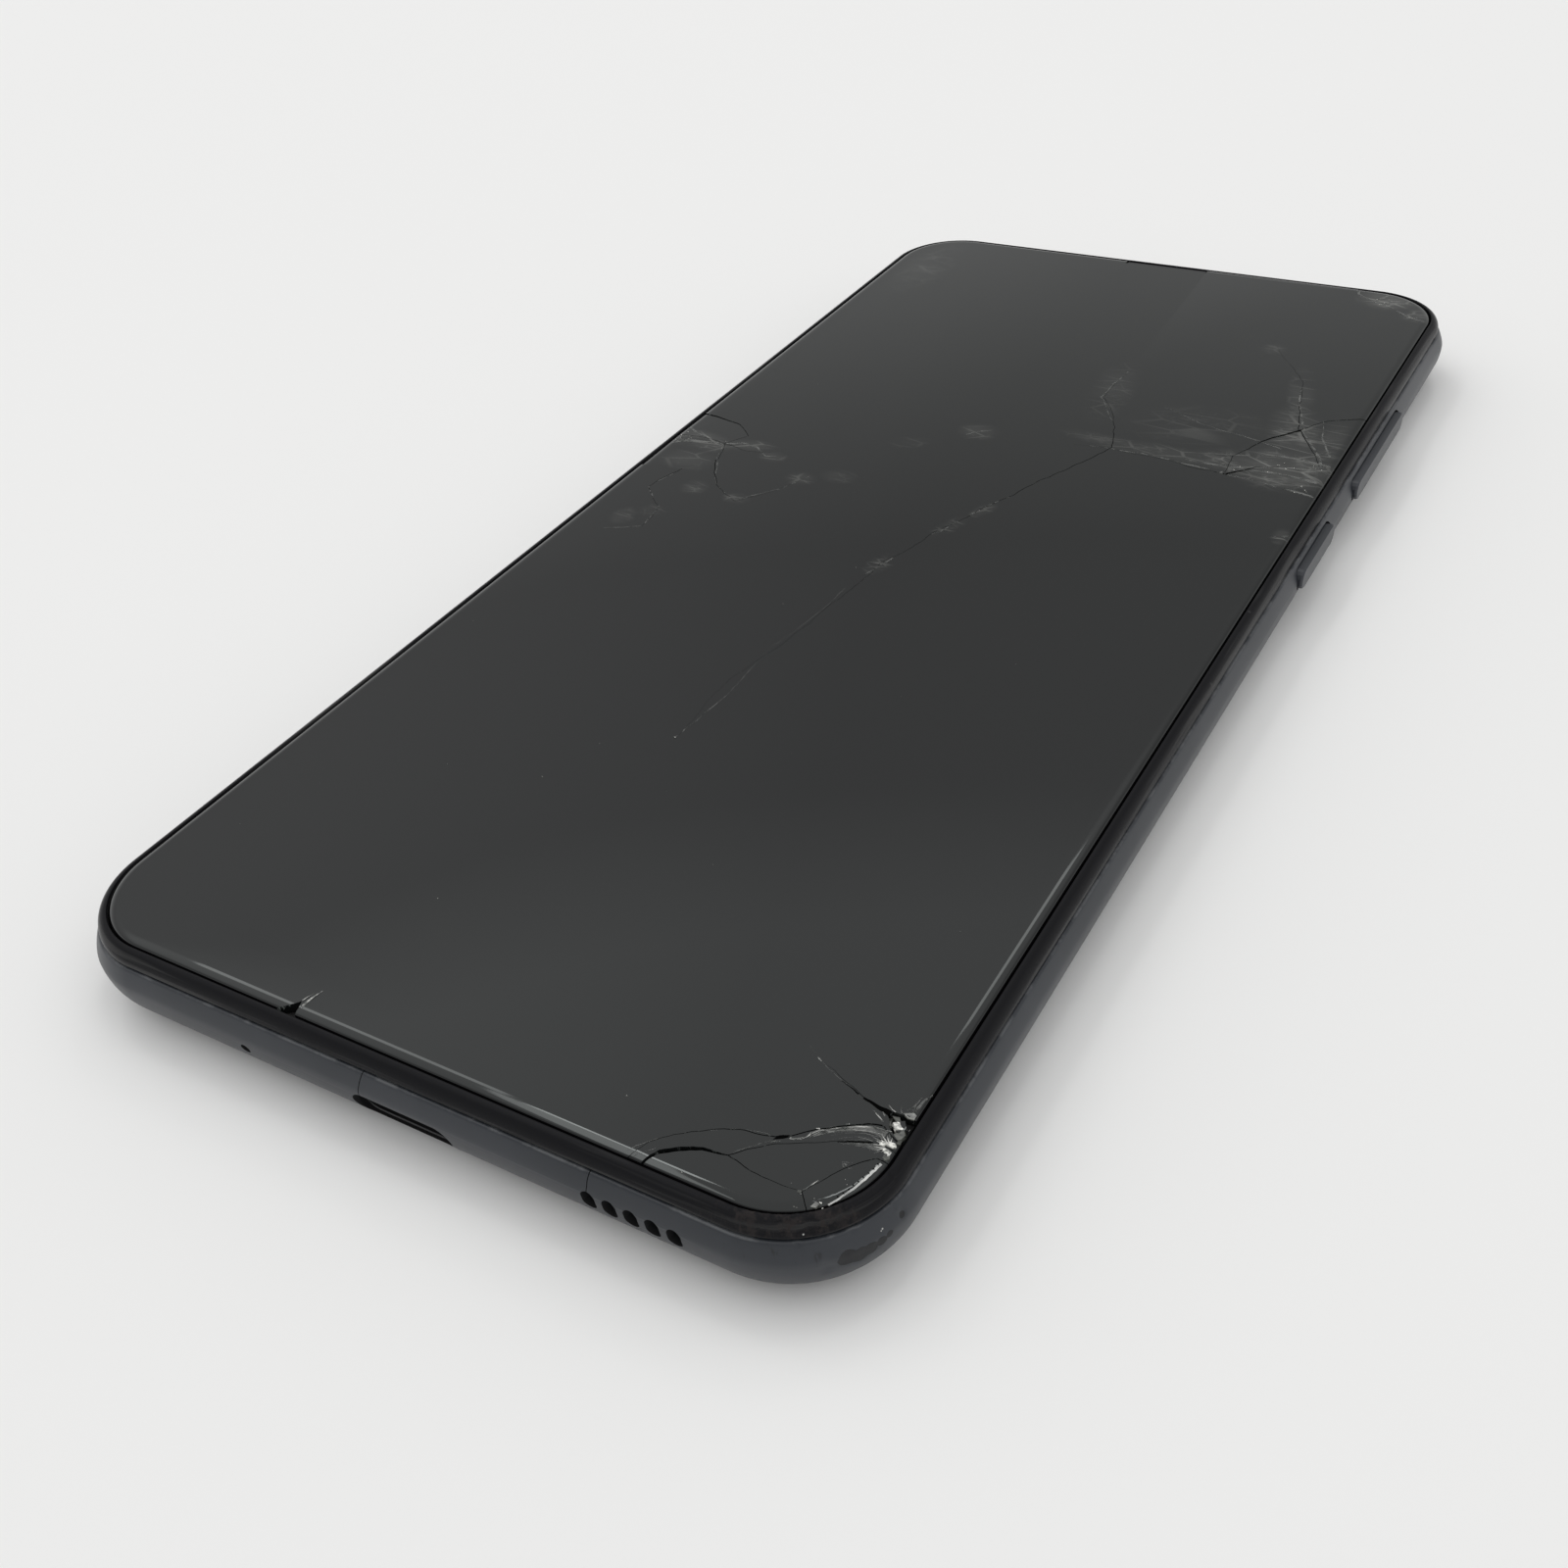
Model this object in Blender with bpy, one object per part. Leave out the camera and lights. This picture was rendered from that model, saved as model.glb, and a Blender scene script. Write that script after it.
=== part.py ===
"""A smartphone with a shattered screen, lying on its back on a table.

X runs to the right with the screen facing up, Y towards the earpiece, and Z up, out of the screen.
The origin is on the table under the middle of the phone. The model is in metres.
"""

import math
import random

import bmesh
import bpy
from mathutils import Euler, Matrix, Vector

MM = 0.001

# The whole phone
WIDTH = 74.0 * MM
LENGTH = 159.6 * MM
THICKNESS = 8.3 * MM
CORNER_RADIUS = 9.6 * MM
HALF_X = WIDTH / 2
HALF_Y = LENGTH / 2
CORNER_STEPS = 8
SMOOTH_ANGLE = 30  # sharper edges than this stay sharp, in degrees

# How finely round things are drawn
PIN_SIDES = 10
HOLE_SIDES = 12
BARREL_SIDES = 20
VENT_STEPS = 3
SLOT_STEPS = 4
SLOT_ROUND = 0.999  # keeps a sliver of the straight side at a slot's ends

# Clearances
SEAT = 0.3 * MM  # between pieces that rest on each other
SLIDE = 0.2 * MM  # round a key or the tray
TAPE_SEAT = 0.15 * MM  # over and under the screen's foam tape
PAST = 1.0 * MM  # how far a cutter runs past what it cuts

# Rear cover, a painted moulding that wraps round the sides
COVER_WALL = 0.9 * MM
BELLY_INSET = 4.3 * MM  # the flat back ends this far inside the widest outline
BELLY_HEIGHT = 5.0 * MM  # height of the widest outline
BELLY_STEPS = 6
RIM_HEIGHT = 6.6 * MM
RIM_INSET = 0.72 * MM
RIM_CHAMFER = 0.22 * MM
RIM_SHOULDER = 0.25 * MM  # inset of the outline half way up to the rim
RIM_WIDTH = 0.73 * MM
RIM_LIP = 0.45 * MM  # height of the thicker lip under the rim

# Mid frame: glossy bezel, skirt inside the cover, ledge for the glass, and mid plate
SEAM = 0.25 * MM  # dark line between the cover's rim and the bezel
BEZEL_INSET = 0.75 * MM
BEZEL_TOP_INSET = 1.71 * MM
BEZEL_HEIGHT = 8.12 * MM
BEZEL_STEPS = 5
SKIRT_INSET = 1.75 * MM
SKIRT_WALL = 1.0 * MM
SKIRT_BOTTOM = 3.2 * MM
LEDGE_WIDTH = 1.35 * MM
LEDGE_DRAFT = 0.08 * MM
PLATE_THICK = 0.6 * MM

# Cover glass and screen
GLASS_THICK = 0.8 * MM
GLASS_GAP = 0.34 * MM  # dark gap between the bezel and the glass
GLASS_EDGE_WIDTH = 0.69 * MM  # the curved edge seen from above
GLASS_EDGE_DROP = 0.38 * MM
GLASS_EDGE_STEPS = 4
DISPLAY_THICK = 0.9 * MM
TAPE_THICK = 0.4 * MM
TAPE_WIDTH = 0.85 * MM
TAPE_MARGIN = 0.1 * MM  # how far the foam tape starts inside the glass's edge
KERF = 0.07 * MM  # opening of a clean crack between two fragments

# Ports in the bottom edge
USB_WIDTH = 9.2 * MM
USB_HEIGHT = 3.2 * MM
USB_Z = 3.75 * MM
USB_MARGIN = 0.12 * MM  # between the slot and the socket's shell
USB_SHELL_WALL = 0.22 * MM
USB_DEPTH = 7.3 * MM
USB_BACK_WALL = 0.6 * MM
USB_SET_BACK = 1.0 * MM
USB_TONGUE = (6.7 * MM, 0.7 * MM, 5.4 * MM)
MIC_FROM_SIDE = 21.8 * MM
MIC_X = -HALF_X + MIC_FROM_SIDE
MIC_Z = 3.95 * MM
MIC_RADIUS = 0.45 * MM
SPEAKER_FROM_SIDE = 20.16 * MM  # from the right side to the first slot
SPEAKER_X = HALF_X - SPEAKER_FROM_SIDE
SPEAKER_PITCH = 1.73 * MM
SPEAKER_SLOTS = 5
SPEAKER_SLOT = (1.15 * MM, 1.85 * MM)
SPEAKER_Z = 4.25 * MM
SPEAKER_MESH_THICK = 0.25 * MM

# Side keys on the right
KEY_Z = 5.0 * MM
KEY_HEIGHT = 2.0 * MM
KEY_PROUD = 0.4 * MM
KEY_CROWN = 0.22 * MM
KEY_CROWN_SHARE = 0.35  # where the crown's middle edge lies
KEY_PLAY = 0.4 * MM  # between a flange and the cover's widest inside, room for the rocker to tilt
POWER_FROM_END = 61.4 * MM  # from the far end to the key's middle
POWER_Y = HALF_Y - POWER_FROM_END
POWER_LENGTH = 11.4 * MM
VOLUME_FROM_END = 38.1 * MM
VOLUME_Y = HALF_Y - VOLUME_FROM_END
VOLUME_LENGTH = 19.1 * MM
FLANGE_OUT = 0.7 * MM  # how far the hidden flange runs past the cap at each end
FLANGE_THICK = 0.4 * MM
FLANGE_HEIGHT = 1.8 * MM
FLANGE_Z = 4.8 * MM
KEY_POCKET = 0.35 * MM  # recess in the skirt behind a flange
PLUNGER_RADIUS = 0.5 * MM
PLUNGER_Z = 4.5 * MM
VOLUME_PLUNGERS = 6.2 * MM  # each side of the rocker's middle
DOME_RADIUS = 0.8 * MM
DOME_THICK = 0.2 * MM
KEY_TRAVEL = 0.25 * MM
DOME_GAP = 0.05 * MM  # left between a pressed key and its dome
KEY_FLEX_THICK = 0.5 * MM
KEY_FLEX_HEIGHT = 1.7 * MM
KEY_FLEX_END = 4.5 * MM

# Card tray on the left
TRAY_FROM_END = 32.8 * MM
TRAY_Y = HALF_Y - TRAY_FROM_END
TRAY_Z = 4.75 * MM
TRAY_FACE = (16.8 * MM, 1.6 * MM, 1.3 * MM)
TRAY_BLADE = (14.0 * MM, 0.7 * MM, 22.4 * MM)
TRAY_FACE_INSET = 0.06 * MM
TRAY_WINDOW_START = 1.2 * MM
TRAY_WINDOW_DEPTH = 8.7 * MM
TRAY_WINDOW_PITCH = 10.2 * MM
TRAY_WINDOW_COUNT = 2
TRAY_WINDOW_WIDTH = 11.2 * MM
TRAY_PIN_RADIUS = 0.45 * MM
READER_RAIL = 1.2 * MM

# Cameras and earpiece
CAMERA_FROM_SIDE = 16.0 * MM
CAMERA_FROM_END = 14.3 * MM
CAMERA_PITCH = 11.0 * MM
CAMERA_X = HALF_X - CAMERA_FROM_SIDE
MAIN_CAMERA_Y = HALF_Y - CAMERA_FROM_END
WIDE_CAMERA_Y = MAIN_CAMERA_Y - CAMERA_PITCH
MAIN_CAMERA_SIDE = 9.4 * MM
WIDE_CAMERA_SIDE = 8.2 * MM
CAMERA_BARREL = 3.6 * MM
CAMERA_BARREL_LENGTH = 1.0 * MM
WINDOW = (11.0 * MM, 24.0 * MM)
WINDOW_RADIUS = 4.0 * MM
WINDOW_DEEP = 0.05 * MM  # how far the window lies inside the flat back
WINDOW_THICK = 0.75 * MM
WINDOW_BEZEL = 0.4 * MM
FLASH_Y = WIDE_CAMERA_Y - CAMERA_PITCH
FLASH_RADIUS = 2.1 * MM
FRONT_CAMERA_X = -13.5 * MM
FRONT_CAMERA_FROM_END = 7.2 * MM
FRONT_CAMERA_XY = (FRONT_CAMERA_X, HALF_Y - FRONT_CAMERA_FROM_END)
FRONT_CAMERA_RADIUS = 1.6 * MM
FRONT_CAMERA_SIDE = 5.4 * MM
FRONT_CAMERA_BASE = 0.9 * MM
RECEIVER_HALF_WIDTH = 7.0 * MM
RECEIVER_FROM_END = 3.5 * MM
RECEIVER_LENGTH = 5.7 * MM
RECEIVER_HIGH_Y = HALF_Y - RECEIVER_FROM_END
RECEIVER_LOW_Y = RECEIVER_HIGH_Y - RECEIVER_LENGTH
RECEIVER_THICK = 2.9 * MM
EARPIECE_LENGTH = 11.0 * MM
EARPIECE_NOTCH = 1.0 * MM  # how deep the notch runs into the glass
EARPIECE_MESH = 0.45 * MM
EARPIECE_MESH_HEIGHT = 0.7 * MM

# Battery and boards
BOARD_FROM_END = 46.3 * MM  # from the far end to the main board's lower edge
BOARD_FROM_SIDE = 4.2 * MM
BATTERY_FROM_END = 38.8 * MM
BATTERY_FROM_SIDE = 7.0 * MM
BATTERY_GAP = 3.5 * MM  # between the battery and the main board
BOARD_LOW_Y = HALF_Y - BOARD_FROM_END
BOARD_HALF_WIDTH = HALF_X - BOARD_FROM_SIDE
BATTERY_LOW_Y = -HALF_Y + BATTERY_FROM_END
BATTERY_HIGH_Y = BOARD_LOW_Y - BATTERY_GAP
BATTERY_HALF_WIDTH = HALF_X - BATTERY_FROM_SIDE
BATTERY_THICK = 3.6 * MM
BATTERY_RADIUS = 2.0 * MM
RIB = 0.9 * MM
RIB_DEPTH = 1.6 * MM
BOARD_THICK = 0.8 * MM
BOARD_BOTTOM = 3.1 * MM
BOARD_MARGIN = 0.6 * MM  # between a board's end and the skirt
BOARD_RADIUS = 5.0 * MM
SHIELD_HEIGHT = 1.2 * MM
SHIELD_RADIUS = 0.9 * MM
SHIELD_FROM_EDGE = 3.0 * MM  # from the main board's lower edge
SHIELD_LENGTH = 17.5 * MM
SHIELD_GAP = 3.0 * MM
SHIELD_FROM_CAMERA = 12.0 * MM
RADIO_FROM_SIDE = 6.0 * MM
RADIO_WIDTH = 16.0 * MM
SHIELD_LOW_Y = BOARD_LOW_Y + SHIELD_FROM_EDGE
SHIELD_HIGH_Y = SHIELD_LOW_Y + SHIELD_LENGTH
RADIO_SHIELD_X = (-HALF_X + RADIO_FROM_SIDE, -HALF_X + RADIO_FROM_SIDE + RADIO_WIDTH)
PROCESSOR_SHIELD_X = (RADIO_SHIELD_X[1] + SHIELD_GAP, CAMERA_X - SHIELD_FROM_CAMERA)
BRACKET_THICK = 0.5 * MM
BRACKET_FROM_SIDE = 4.5 * MM
BRACKET_FROM_END = 10.0 * MM
BRACKET_FROM_SHIELD = 2.5 * MM
BRACKET_FROM_CAMERA = 9.5 * MM
BRACKET_LOW = (-HALF_X + BRACKET_FROM_SIDE, SHIELD_HIGH_Y + BRACKET_FROM_SHIELD)
BRACKET_HIGH = (CAMERA_X - BRACKET_FROM_CAMERA, HALF_Y - BRACKET_FROM_END)
SPEAKER_BOX_FROM_SIDE = 5.5 * MM
SPEAKER_BOX_FROM_END = 3.5 * MM
SPEAKER_BOX_WIDTH = 22.0 * MM
SPEAKER_BOX_LENGTH = 23.3 * MM
SPEAKER_BOX_RADIUS = 3.0 * MM
SPEAKER_BOX_LOW = (HALF_X - SPEAKER_BOX_FROM_SIDE - SPEAKER_BOX_WIDTH, -HALF_Y + SPEAKER_BOX_FROM_END)
SPEAKER_BOX_HIGH = (HALF_X - SPEAKER_BOX_FROM_SIDE, SPEAKER_BOX_LOW[1] + SPEAKER_BOX_LENGTH)
EAR_WIDTH = 7.0 * MM
EAR_LENGTH = 5.5 * MM
EAR_OVERLAP = 1.0 * MM
EAR_IN = 0.5 * MM  # from the box's side to the ear's
SPEAKER_EAR_HIGH = (SPEAKER_BOX_HIGH[0] - EAR_IN, SPEAKER_BOX_HIGH[1] + EAR_LENGTH)
SPEAKER_EAR_LOW = (SPEAKER_EAR_HIGH[0] - EAR_WIDTH, SPEAKER_BOX_HIGH[1] - EAR_OVERLAP)
SPEAKER_NOZZLE = 0.5 * MM
CHARGER_FROM_SIDE = 10.0 * MM
CHARGER_FROM_END = 3.8 * MM
CHARGER_FROM_SPEAKER = 1.9 * MM
CHARGER_LENGTH = 16.0 * MM
CHARGER_LOW = (-HALF_X + CHARGER_FROM_SIDE, -HALF_Y + CHARGER_FROM_END)
CHARGER_HIGH = (SPEAKER_BOX_LOW[0] - CHARGER_FROM_SPEAKER, CHARGER_LOW[1] + CHARGER_LENGTH)
MOTOR_FROM_SIDE = 11.0 * MM
MOTOR_FROM_END = 27.8 * MM
MOTOR_XY = (-HALF_X + MOTOR_FROM_SIDE, -HALF_Y + MOTOR_FROM_END)
MOTOR_RADIUS = 4.6 * MM
MOTOR_THICK = 3.0 * MM
MICROPHONE = (3.6 * MM, 2.4 * MM, 0.9 * MM)

# Ribbons
RIBBON_THICK = 0.14 * MM
MAIN_RIBBON_WIDTH = 11.0 * MM
MAIN_RIBBON_X = -8.0 * MM
MAIN_RIBBON_FROM_END = 13.8 * MM
MAIN_RIBBON_OVER_BOARD = 7.0 * MM
MAIN_RIBBON_ENDS = (-HALF_Y + MAIN_RIBBON_FROM_END, BOARD_LOW_Y + MAIN_RIBBON_OVER_BOARD)
DISPLAY_RIBBON_WIDTH = 9.0 * MM
DISPLAY_RIBBON_X = -12.0 * MM
DISPLAY_RIBBON_FROM_END = 12.8 * MM
DISPLAY_RIBBON_Y = -HALF_Y + DISPLAY_RIBBON_FROM_END
DISPLAY_RIBBON_RUN = 2.4 * MM
RIBBON_SLOT = 4.0 * MM

# Screws
SCREW_RADIUS = 0.6 * MM
SCREW_HEAD = 1.1 * MM
SCREW_HEAD_THICK = 0.5 * MM
SCREW_TIP = 0.25 * MM  # between the tip and the mid plate's underside
BOSS_WALL = 0.6 * MM
SCREW_IN = 3.2 * MM  # from the edges of a board or bracket to a screw's middle
BRACKET_SCREW_DOWN = 7.8 * MM
SCREW_FROM_CAMERA = 8.2 * MM
SCREW_FROM_SIDE = 7.5 * MM
SCREW_FROM_END = 10.8 * MM
BRACKET_SCREW_Y = BRACKET_HIGH[1] - BRACKET_SCREW_DOWN
BRACKET_SCREWS = (
    (BRACKET_LOW[0] + SCREW_IN, BRACKET_SCREW_Y),
    (BRACKET_HIGH[0] - SCREW_IN, BRACKET_SCREW_Y),
)
BOARD_SCREWS = (
    (CAMERA_X - SCREW_FROM_CAMERA, BOARD_LOW_Y + SCREW_IN),
    (HALF_X - SCREW_FROM_SIDE, BOARD_LOW_Y + SCREW_IN),
    (HALF_X - SCREW_FROM_SIDE, HALF_Y - SCREW_FROM_END),
)
LOW_SCREWS = (
    (CHARGER_LOW[0] + SCREW_IN, CHARGER_LOW[1] + SCREW_IN),
    (CHARGER_HIGH[0] - SCREW_IN, CHARGER_HIGH[1] - SCREW_IN),
    (SPEAKER_EAR_LOW[0] + SCREW_IN, SPEAKER_EAR_LOW[1] + SCREW_IN),
)

# Heights and insets that follow
GLASS_BOTTOM = THICKNESS - GLASS_THICK
GLASS_INSET = BEZEL_TOP_INSET + GLASS_GAP
DISPLAY_TOP = GLASS_BOTTOM - SEAT
DISPLAY_BOTTOM = DISPLAY_TOP - DISPLAY_THICK
TAPE_TOP = GLASS_BOTTOM - TAPE_SEAT
LEDGE_HEIGHT = TAPE_TOP - TAPE_THICK - TAPE_SEAT
LEDGE_INSET = SKIRT_INSET + LEDGE_WIDTH
PLATE_TOP = DISPLAY_BOTTOM - SEAT
PLATE_BOTTOM = PLATE_TOP - PLATE_THICK
SKIRT_INNER = SKIRT_INSET + SKIRT_WALL
CEILING = PLATE_BOTTOM - SEAT  # highest level of what hangs under the mid plate
BOARD_TOP = BOARD_BOTTOM + BOARD_THICK
BOSS_BOTTOM = BOARD_TOP + SEAT

# Fracture lines on the glass, seen from the front. Each was read from the photograph and is drawn from
# the corner or side that took the blow, in steps of the unit below.
FRACTURE_UNIT = 1.0 * MM
NEAR_CORNER = (HALF_X, -HALF_Y)
FAR_CORNER = (HALF_X, HALF_Y)
RIGHT_SIDE = (HALF_X, 0.0)
LEFT_SIDE = (-HALF_X, 0.0)
NEAR_END = (0.0, -HALF_Y)


def drawn(anchor, *points):
    """A line through points that are given from an anchor on the phone's outline."""
    return tuple((anchor[0] + x * FRACTURE_UNIT, anchor[1] + y * FRACTURE_UNIT) for x, y in points)


CORNER_OUTER = drawn(
    NEAR_CORNER,
    (-1.1, 10.7), (-2.4, 10.9), (-3.6, 11.6), (-4.6, 11.3), (-6.0, 10.4), (-7.4, 9.4), (-8.6, 8.2),
    (-9.6, 7.6), (-12.0, 7.1), (-13.9, 6.1), (-15.7, 4.8), (-16.9, 3.5), (-18.2, 0.8),
)
CORNER_INNER = drawn(
    NEAR_CORNER,
    (-1.1, 10.1), (-2.6, 10.1), (-4.0, 10.0), (-5.6, 9.2), (-7.5, 8.1), (-9.3, 7.1), (-10.7, 5.9),
    (-11.6, 4.9), (-13.4, 4.7), (-14.7, 4.1), (-15.9, 3.2), (-17.1, 0.8),
)
CORNER_BEND = drawn(
    NEAR_CORNER,
    (-1.1, 9.1), (-2.8, 9.0), (-4.0, 7.7), (-4.6, 6.8), (-5.2, 5.6), (-5.8, 4.5),
)
CORNER_LOW = drawn(NEAR_CORNER, (-11.6, 4.9), (-8.8, 4.4), (-5.8, 4.5))
CORNER_TIP = drawn(NEAR_CORNER, (-5.8, 4.5), (-5.0, 3.6), (-3.6, 1.8))
BLOW_HOLE = drawn(
    NEAR_CORNER,
    (-1.0, 13.1), (-2.7, 13.0), (-4.1, 12.8), (-3.5, 12.2), (-3.2, 11.6), (-2.4, 11.0),
    (-1.0, 10.8),
)
BLOW_SPLINTER = drawn(
    NEAR_CORNER,
    (-2.5, 12.6), (-3.1, 12.3), (-3.1, 11.8), (-2.5, 11.5), (-2.1, 12.0),
)
RIGHT_LOW = drawn(RIGHT_SIDE, (-1.0, 23.4), (-3.4, 23.8), (-7.0, 24.9), (-12.0, 25.4))
RIGHT_RADIAL = drawn(
    RIGHT_SIDE,
    (-12.0, 25.4), (-9.4, 28.2), (-6.5, 29.3), (-3.4, 30.5), (-1.0, 30.9),
)
RIGHT_RISE = drawn(RIGHT_SIDE, (-3.4, 30.5), (-5.4, 34.2), (-7.6, 38.0))
RIGHT_TOP = drawn(RIGHT_SIDE, (-7.6, 38.0), (-5.5, 41.0), (-3.4, 42.2), (-1.0, 43.6))
RIGHT_BACK = drawn(RIGHT_SIDE, (-7.6, 38.0), (-10.6, 34.0), (-12.4, 29.6), (-12.0, 25.4))
LEFT_LOW = drawn(LEFT_SIDE, (1.0, 4.2), (3.8, 4.9), (7.4, 5.4), (9.8, 8.6), (8.5, 12.2))
LEFT_RADIAL = drawn(LEFT_SIDE, (8.5, 12.2), (5.5, 12.7), (1.0, 12.3))
LEFT_TOP = drawn(LEFT_SIDE, (8.5, 12.2), (10.0, 14.8), (7.5, 17.0), (1.0, 18.4))
TOP_CORNER = drawn(
    FAR_CORNER,
    (-12.6, -0.8), (-11.8, -3.6), (-9.4, -5.4), (-6.8, -6.6), (-4.4, -8.8), (-1.0, -9.6),
    (-1.0, -0.8),
)
LOW_CHIP = drawn(
    NEAR_END,
    (-12.6, 0.8), (-11.9, 1.9), (-11.2, 2.3), (-10.8, 2.9), (-10.35, 2.4), (-10.3, 0.8),
)

# Cracks that die out inside a fragment, each from its root to its tip
CORNER_RADIAL = drawn(
    NEAR_CORNER,
    (-3.9, 12.7), (-5.1, 12.9), (-7.1, 13.7), (-8.8, 14.4), (-10.1, 14.8),
)
CHIP_TAIL = drawn(NEAR_END, (-10.9, 0.8), (-10.45, 2.4), (-10.1, 3.4), (-9.95, 4.4))
RIGHT_TAIL = drawn(RIGHT_SIDE, (-11.7, 25.5), (-19.0, 26.3), (-25.0, 26.6), (-29.0, 26.0))
RIGHT_CREEP = drawn(
    RIGHT_SIDE,
    (-7.8, 37.8), (-9.3, 43.0), (-10.8, 49.6), (-14.6, 55.0), (-16.4, 58.0),
)
MIDDLE = drawn(
    RIGHT_SIDE,
    (-25.0, 26.6), (-30.4, 13.2), (-32.6, 8.4), (-34.4, 4.0), (-37.0, -4.4), (-38.0, -14.0),
    (-39.9, -37.8),
)
MIDDLE_HIGH = drawn(RIGHT_SIDE, (-24.9, 26.7), (-26.4, 31.6), (-30.2, 38.0), (-30.1, 45.4))
LEFT_TAIL = drawn(LEFT_SIDE, (9.6, 8.5), (12.8, 3.4), (16.6, 1.0), (19.8, 5.2), (21.2, 8.6))
LEFT_DROP = drawn(LEFT_SIDE, (7.2, 5.5), (6.0, 0.2), (9.6, -3.2), (10.2, -7.4), (6.6, -9.2))
LEFT_REACH = drawn(LEFT_SIDE, (8.4, 12.1), (11.8, 11.5), (14.6, 12.2))
SLITS = {
    "corner_radial": CORNER_RADIAL,
    "chip_tail": CHIP_TAIL,
    "right_tail": RIGHT_TAIL,
    "right_creep": RIGHT_CREEP,
    "middle": MIDDLE,
    "middle_high": MIDDLE_HIGH,
    "left_tail": LEFT_TAIL,
    "left_drop": LEFT_DROP,
    "left_reach": LEFT_REACH,
}
SLIT_ROOT = 0.13 * MM  # opening of such a crack at its root
SLIT_TIP = 0.03 * MM
SLIVER = 0.3 * MM  # widest opening of the dark crescent in the corner

# Hairline cracks in the rear cover, down the bottom edge: x at the rim, and the steps towards the port
USB_CRACK_X = -2.8 * MM
USB_CRACK_STEPS = (-0.65 * MM, -0.25 * MM)
SPEAKER_CRACK_X = SPEAKER_X + 0.25 * MM
SPEAKER_CRACK_STEPS = (-0.25 * MM, -0.15 * MM)
COVER_CRACK_WIDTH = 0.07 * MM

# Chips knocked out of the corner that took the fall: piece, bearing on the corner, height, radius
CHIPS = (
    ("rear_cover", -47, 4.6, 1.1),
    ("rear_cover", -30, 5.6, 0.5),
    ("rear_cover", -19, 5.3, 0.45),
    ("mid_frame", -62, 7.7, 0.55),
    ("mid_frame", -52, 7.5, 0.75),
    ("mid_frame", -38, 7.8, 0.5),
    ("mid_frame", -8, 7.9, 0.45),
)
CHIP_BITE = 0.45  # share of a chip's radius that lies inside the surface
CHIP_ROUGH = (0.75, 1.15)  # how unevenly a chip breaks out, as shares of its radius
CHIP_SEED = 11


def clear_scene():
    for old in list(bpy.data.objects):
        bpy.data.objects.remove(old, do_unlink=True)


def finish(name, colour, roughness, metallic=0.0, transmission=0.0):
    material = bpy.data.materials.new(name)
    material.use_nodes = True
    shader = material.node_tree.nodes["Principled BSDF"]
    shader.inputs["Base Color"].default_value = (*colour, 1.0)
    shader.inputs["Roughness"].default_value = roughness
    shader.inputs["Metallic"].default_value = metallic
    shader.inputs["Transmission Weight"].default_value = transmission
    return material


def place(name, bm, material=None):
    """Turns a bmesh into an object. With no material it is a cutter or guide that the part leaves out."""
    bmesh.ops.recalc_face_normals(bm, faces=bm.faces)
    mesh = bpy.data.meshes.new(name)
    bm.to_mesh(mesh)
    bm.free()
    mesh.shade_smooth()
    mesh.set_sharp_from_angle(angle=math.radians(SMOOTH_ANGLE))
    piece = bpy.data.objects.new(name, mesh)
    bpy.context.scene.collection.objects.link(piece)
    if material:
        mesh.materials.append(material)
    else:
        piece.hide_render = True
        piece.display_type = "WIRE"
    return piece


def combine(piece, other, operation):
    modifier = piece.modifiers.new(f"{operation.lower()}_{other.name}", "BOOLEAN")
    modifier.operation = operation
    modifier.solver = "EXACT"
    modifier.object = other
    return piece


def cut(piece, *cutters):
    for cutter in cutters:
        combine(piece, cutter, "DIFFERENCE")
    return piece


def join(piece, *others):
    for other in others:
        combine(piece, other, "UNION")
    return piece


def rounded(half_a, half_b, radius, centre=(0.0, 0.0), steps=CORNER_STEPS):
    """A rounded rectangle, anticlockwise from its lower right corner."""
    points = []
    for side_a, side_b, start in ((1, -1, -90), (1, 1, 0), (-1, 1, 90), (-1, -1, 180)):
        for step in range(steps + 1):
            angle = math.radians(start + 90 * step / steps)
            a = side_a * (half_a - radius) + radius * math.cos(angle)
            b = side_b * (half_b - radius) + radius * math.sin(angle)
            points.append((centre[0] + a, centre[1] + b))
    return points


def circle(radius, centre, sides=HOLE_SIDES):
    turn = math.tau / sides
    return [
        (centre[0] + radius * math.cos(turn * (i + 0.5)), centre[1] + radius * math.sin(turn * (i + 0.5)))
        for i in range(sides)
    ]


def rectangle(low, high):
    return [(low[0], low[1]), (high[0], low[1]), (high[0], high[1]), (low[0], high[1])]


def slot(length, height, centre, steps=SLOT_STEPS):
    """A slot with round ends, its longer side first where length is the larger."""
    return rounded(length / 2, height / 2, min(length, height) / 2 * SLOT_ROUND, centre, steps)


def case_line(inset):
    """The phone's outline, drawn in by an inset."""
    return rounded(HALF_X - inset, HALF_Y - inset, CORNER_RADIUS - inset)


def loft(name, sections, material=None, axis="z", ring=False):
    """Skins the outlines of sections, each (points, depth), with depth along axis. A ring has no caps."""
    spots = {"z": lambda a, b, d: (a, b, d), "x": lambda a, b, d: (d, a, b), "y": lambda a, b, d: (a, d, b)}
    spot = spots[axis]
    bm = bmesh.new()
    rings = [[bm.verts.new(spot(a, b, depth)) for a, b in points] for points, depth in sections]
    pairs = list(zip(rings, rings[1:]))
    if ring:
        pairs.append((rings[-1], rings[0]))
    else:
        bm.faces.new(rings[0])
        bm.faces.new(rings[-1])
    for first, second in pairs:
        count = len(first)
        for i in range(count):
            j = (i + 1) % count
            bm.faces.new((first[i], first[j], second[j], second[i]))
    return place(name, bm, material)


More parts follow.
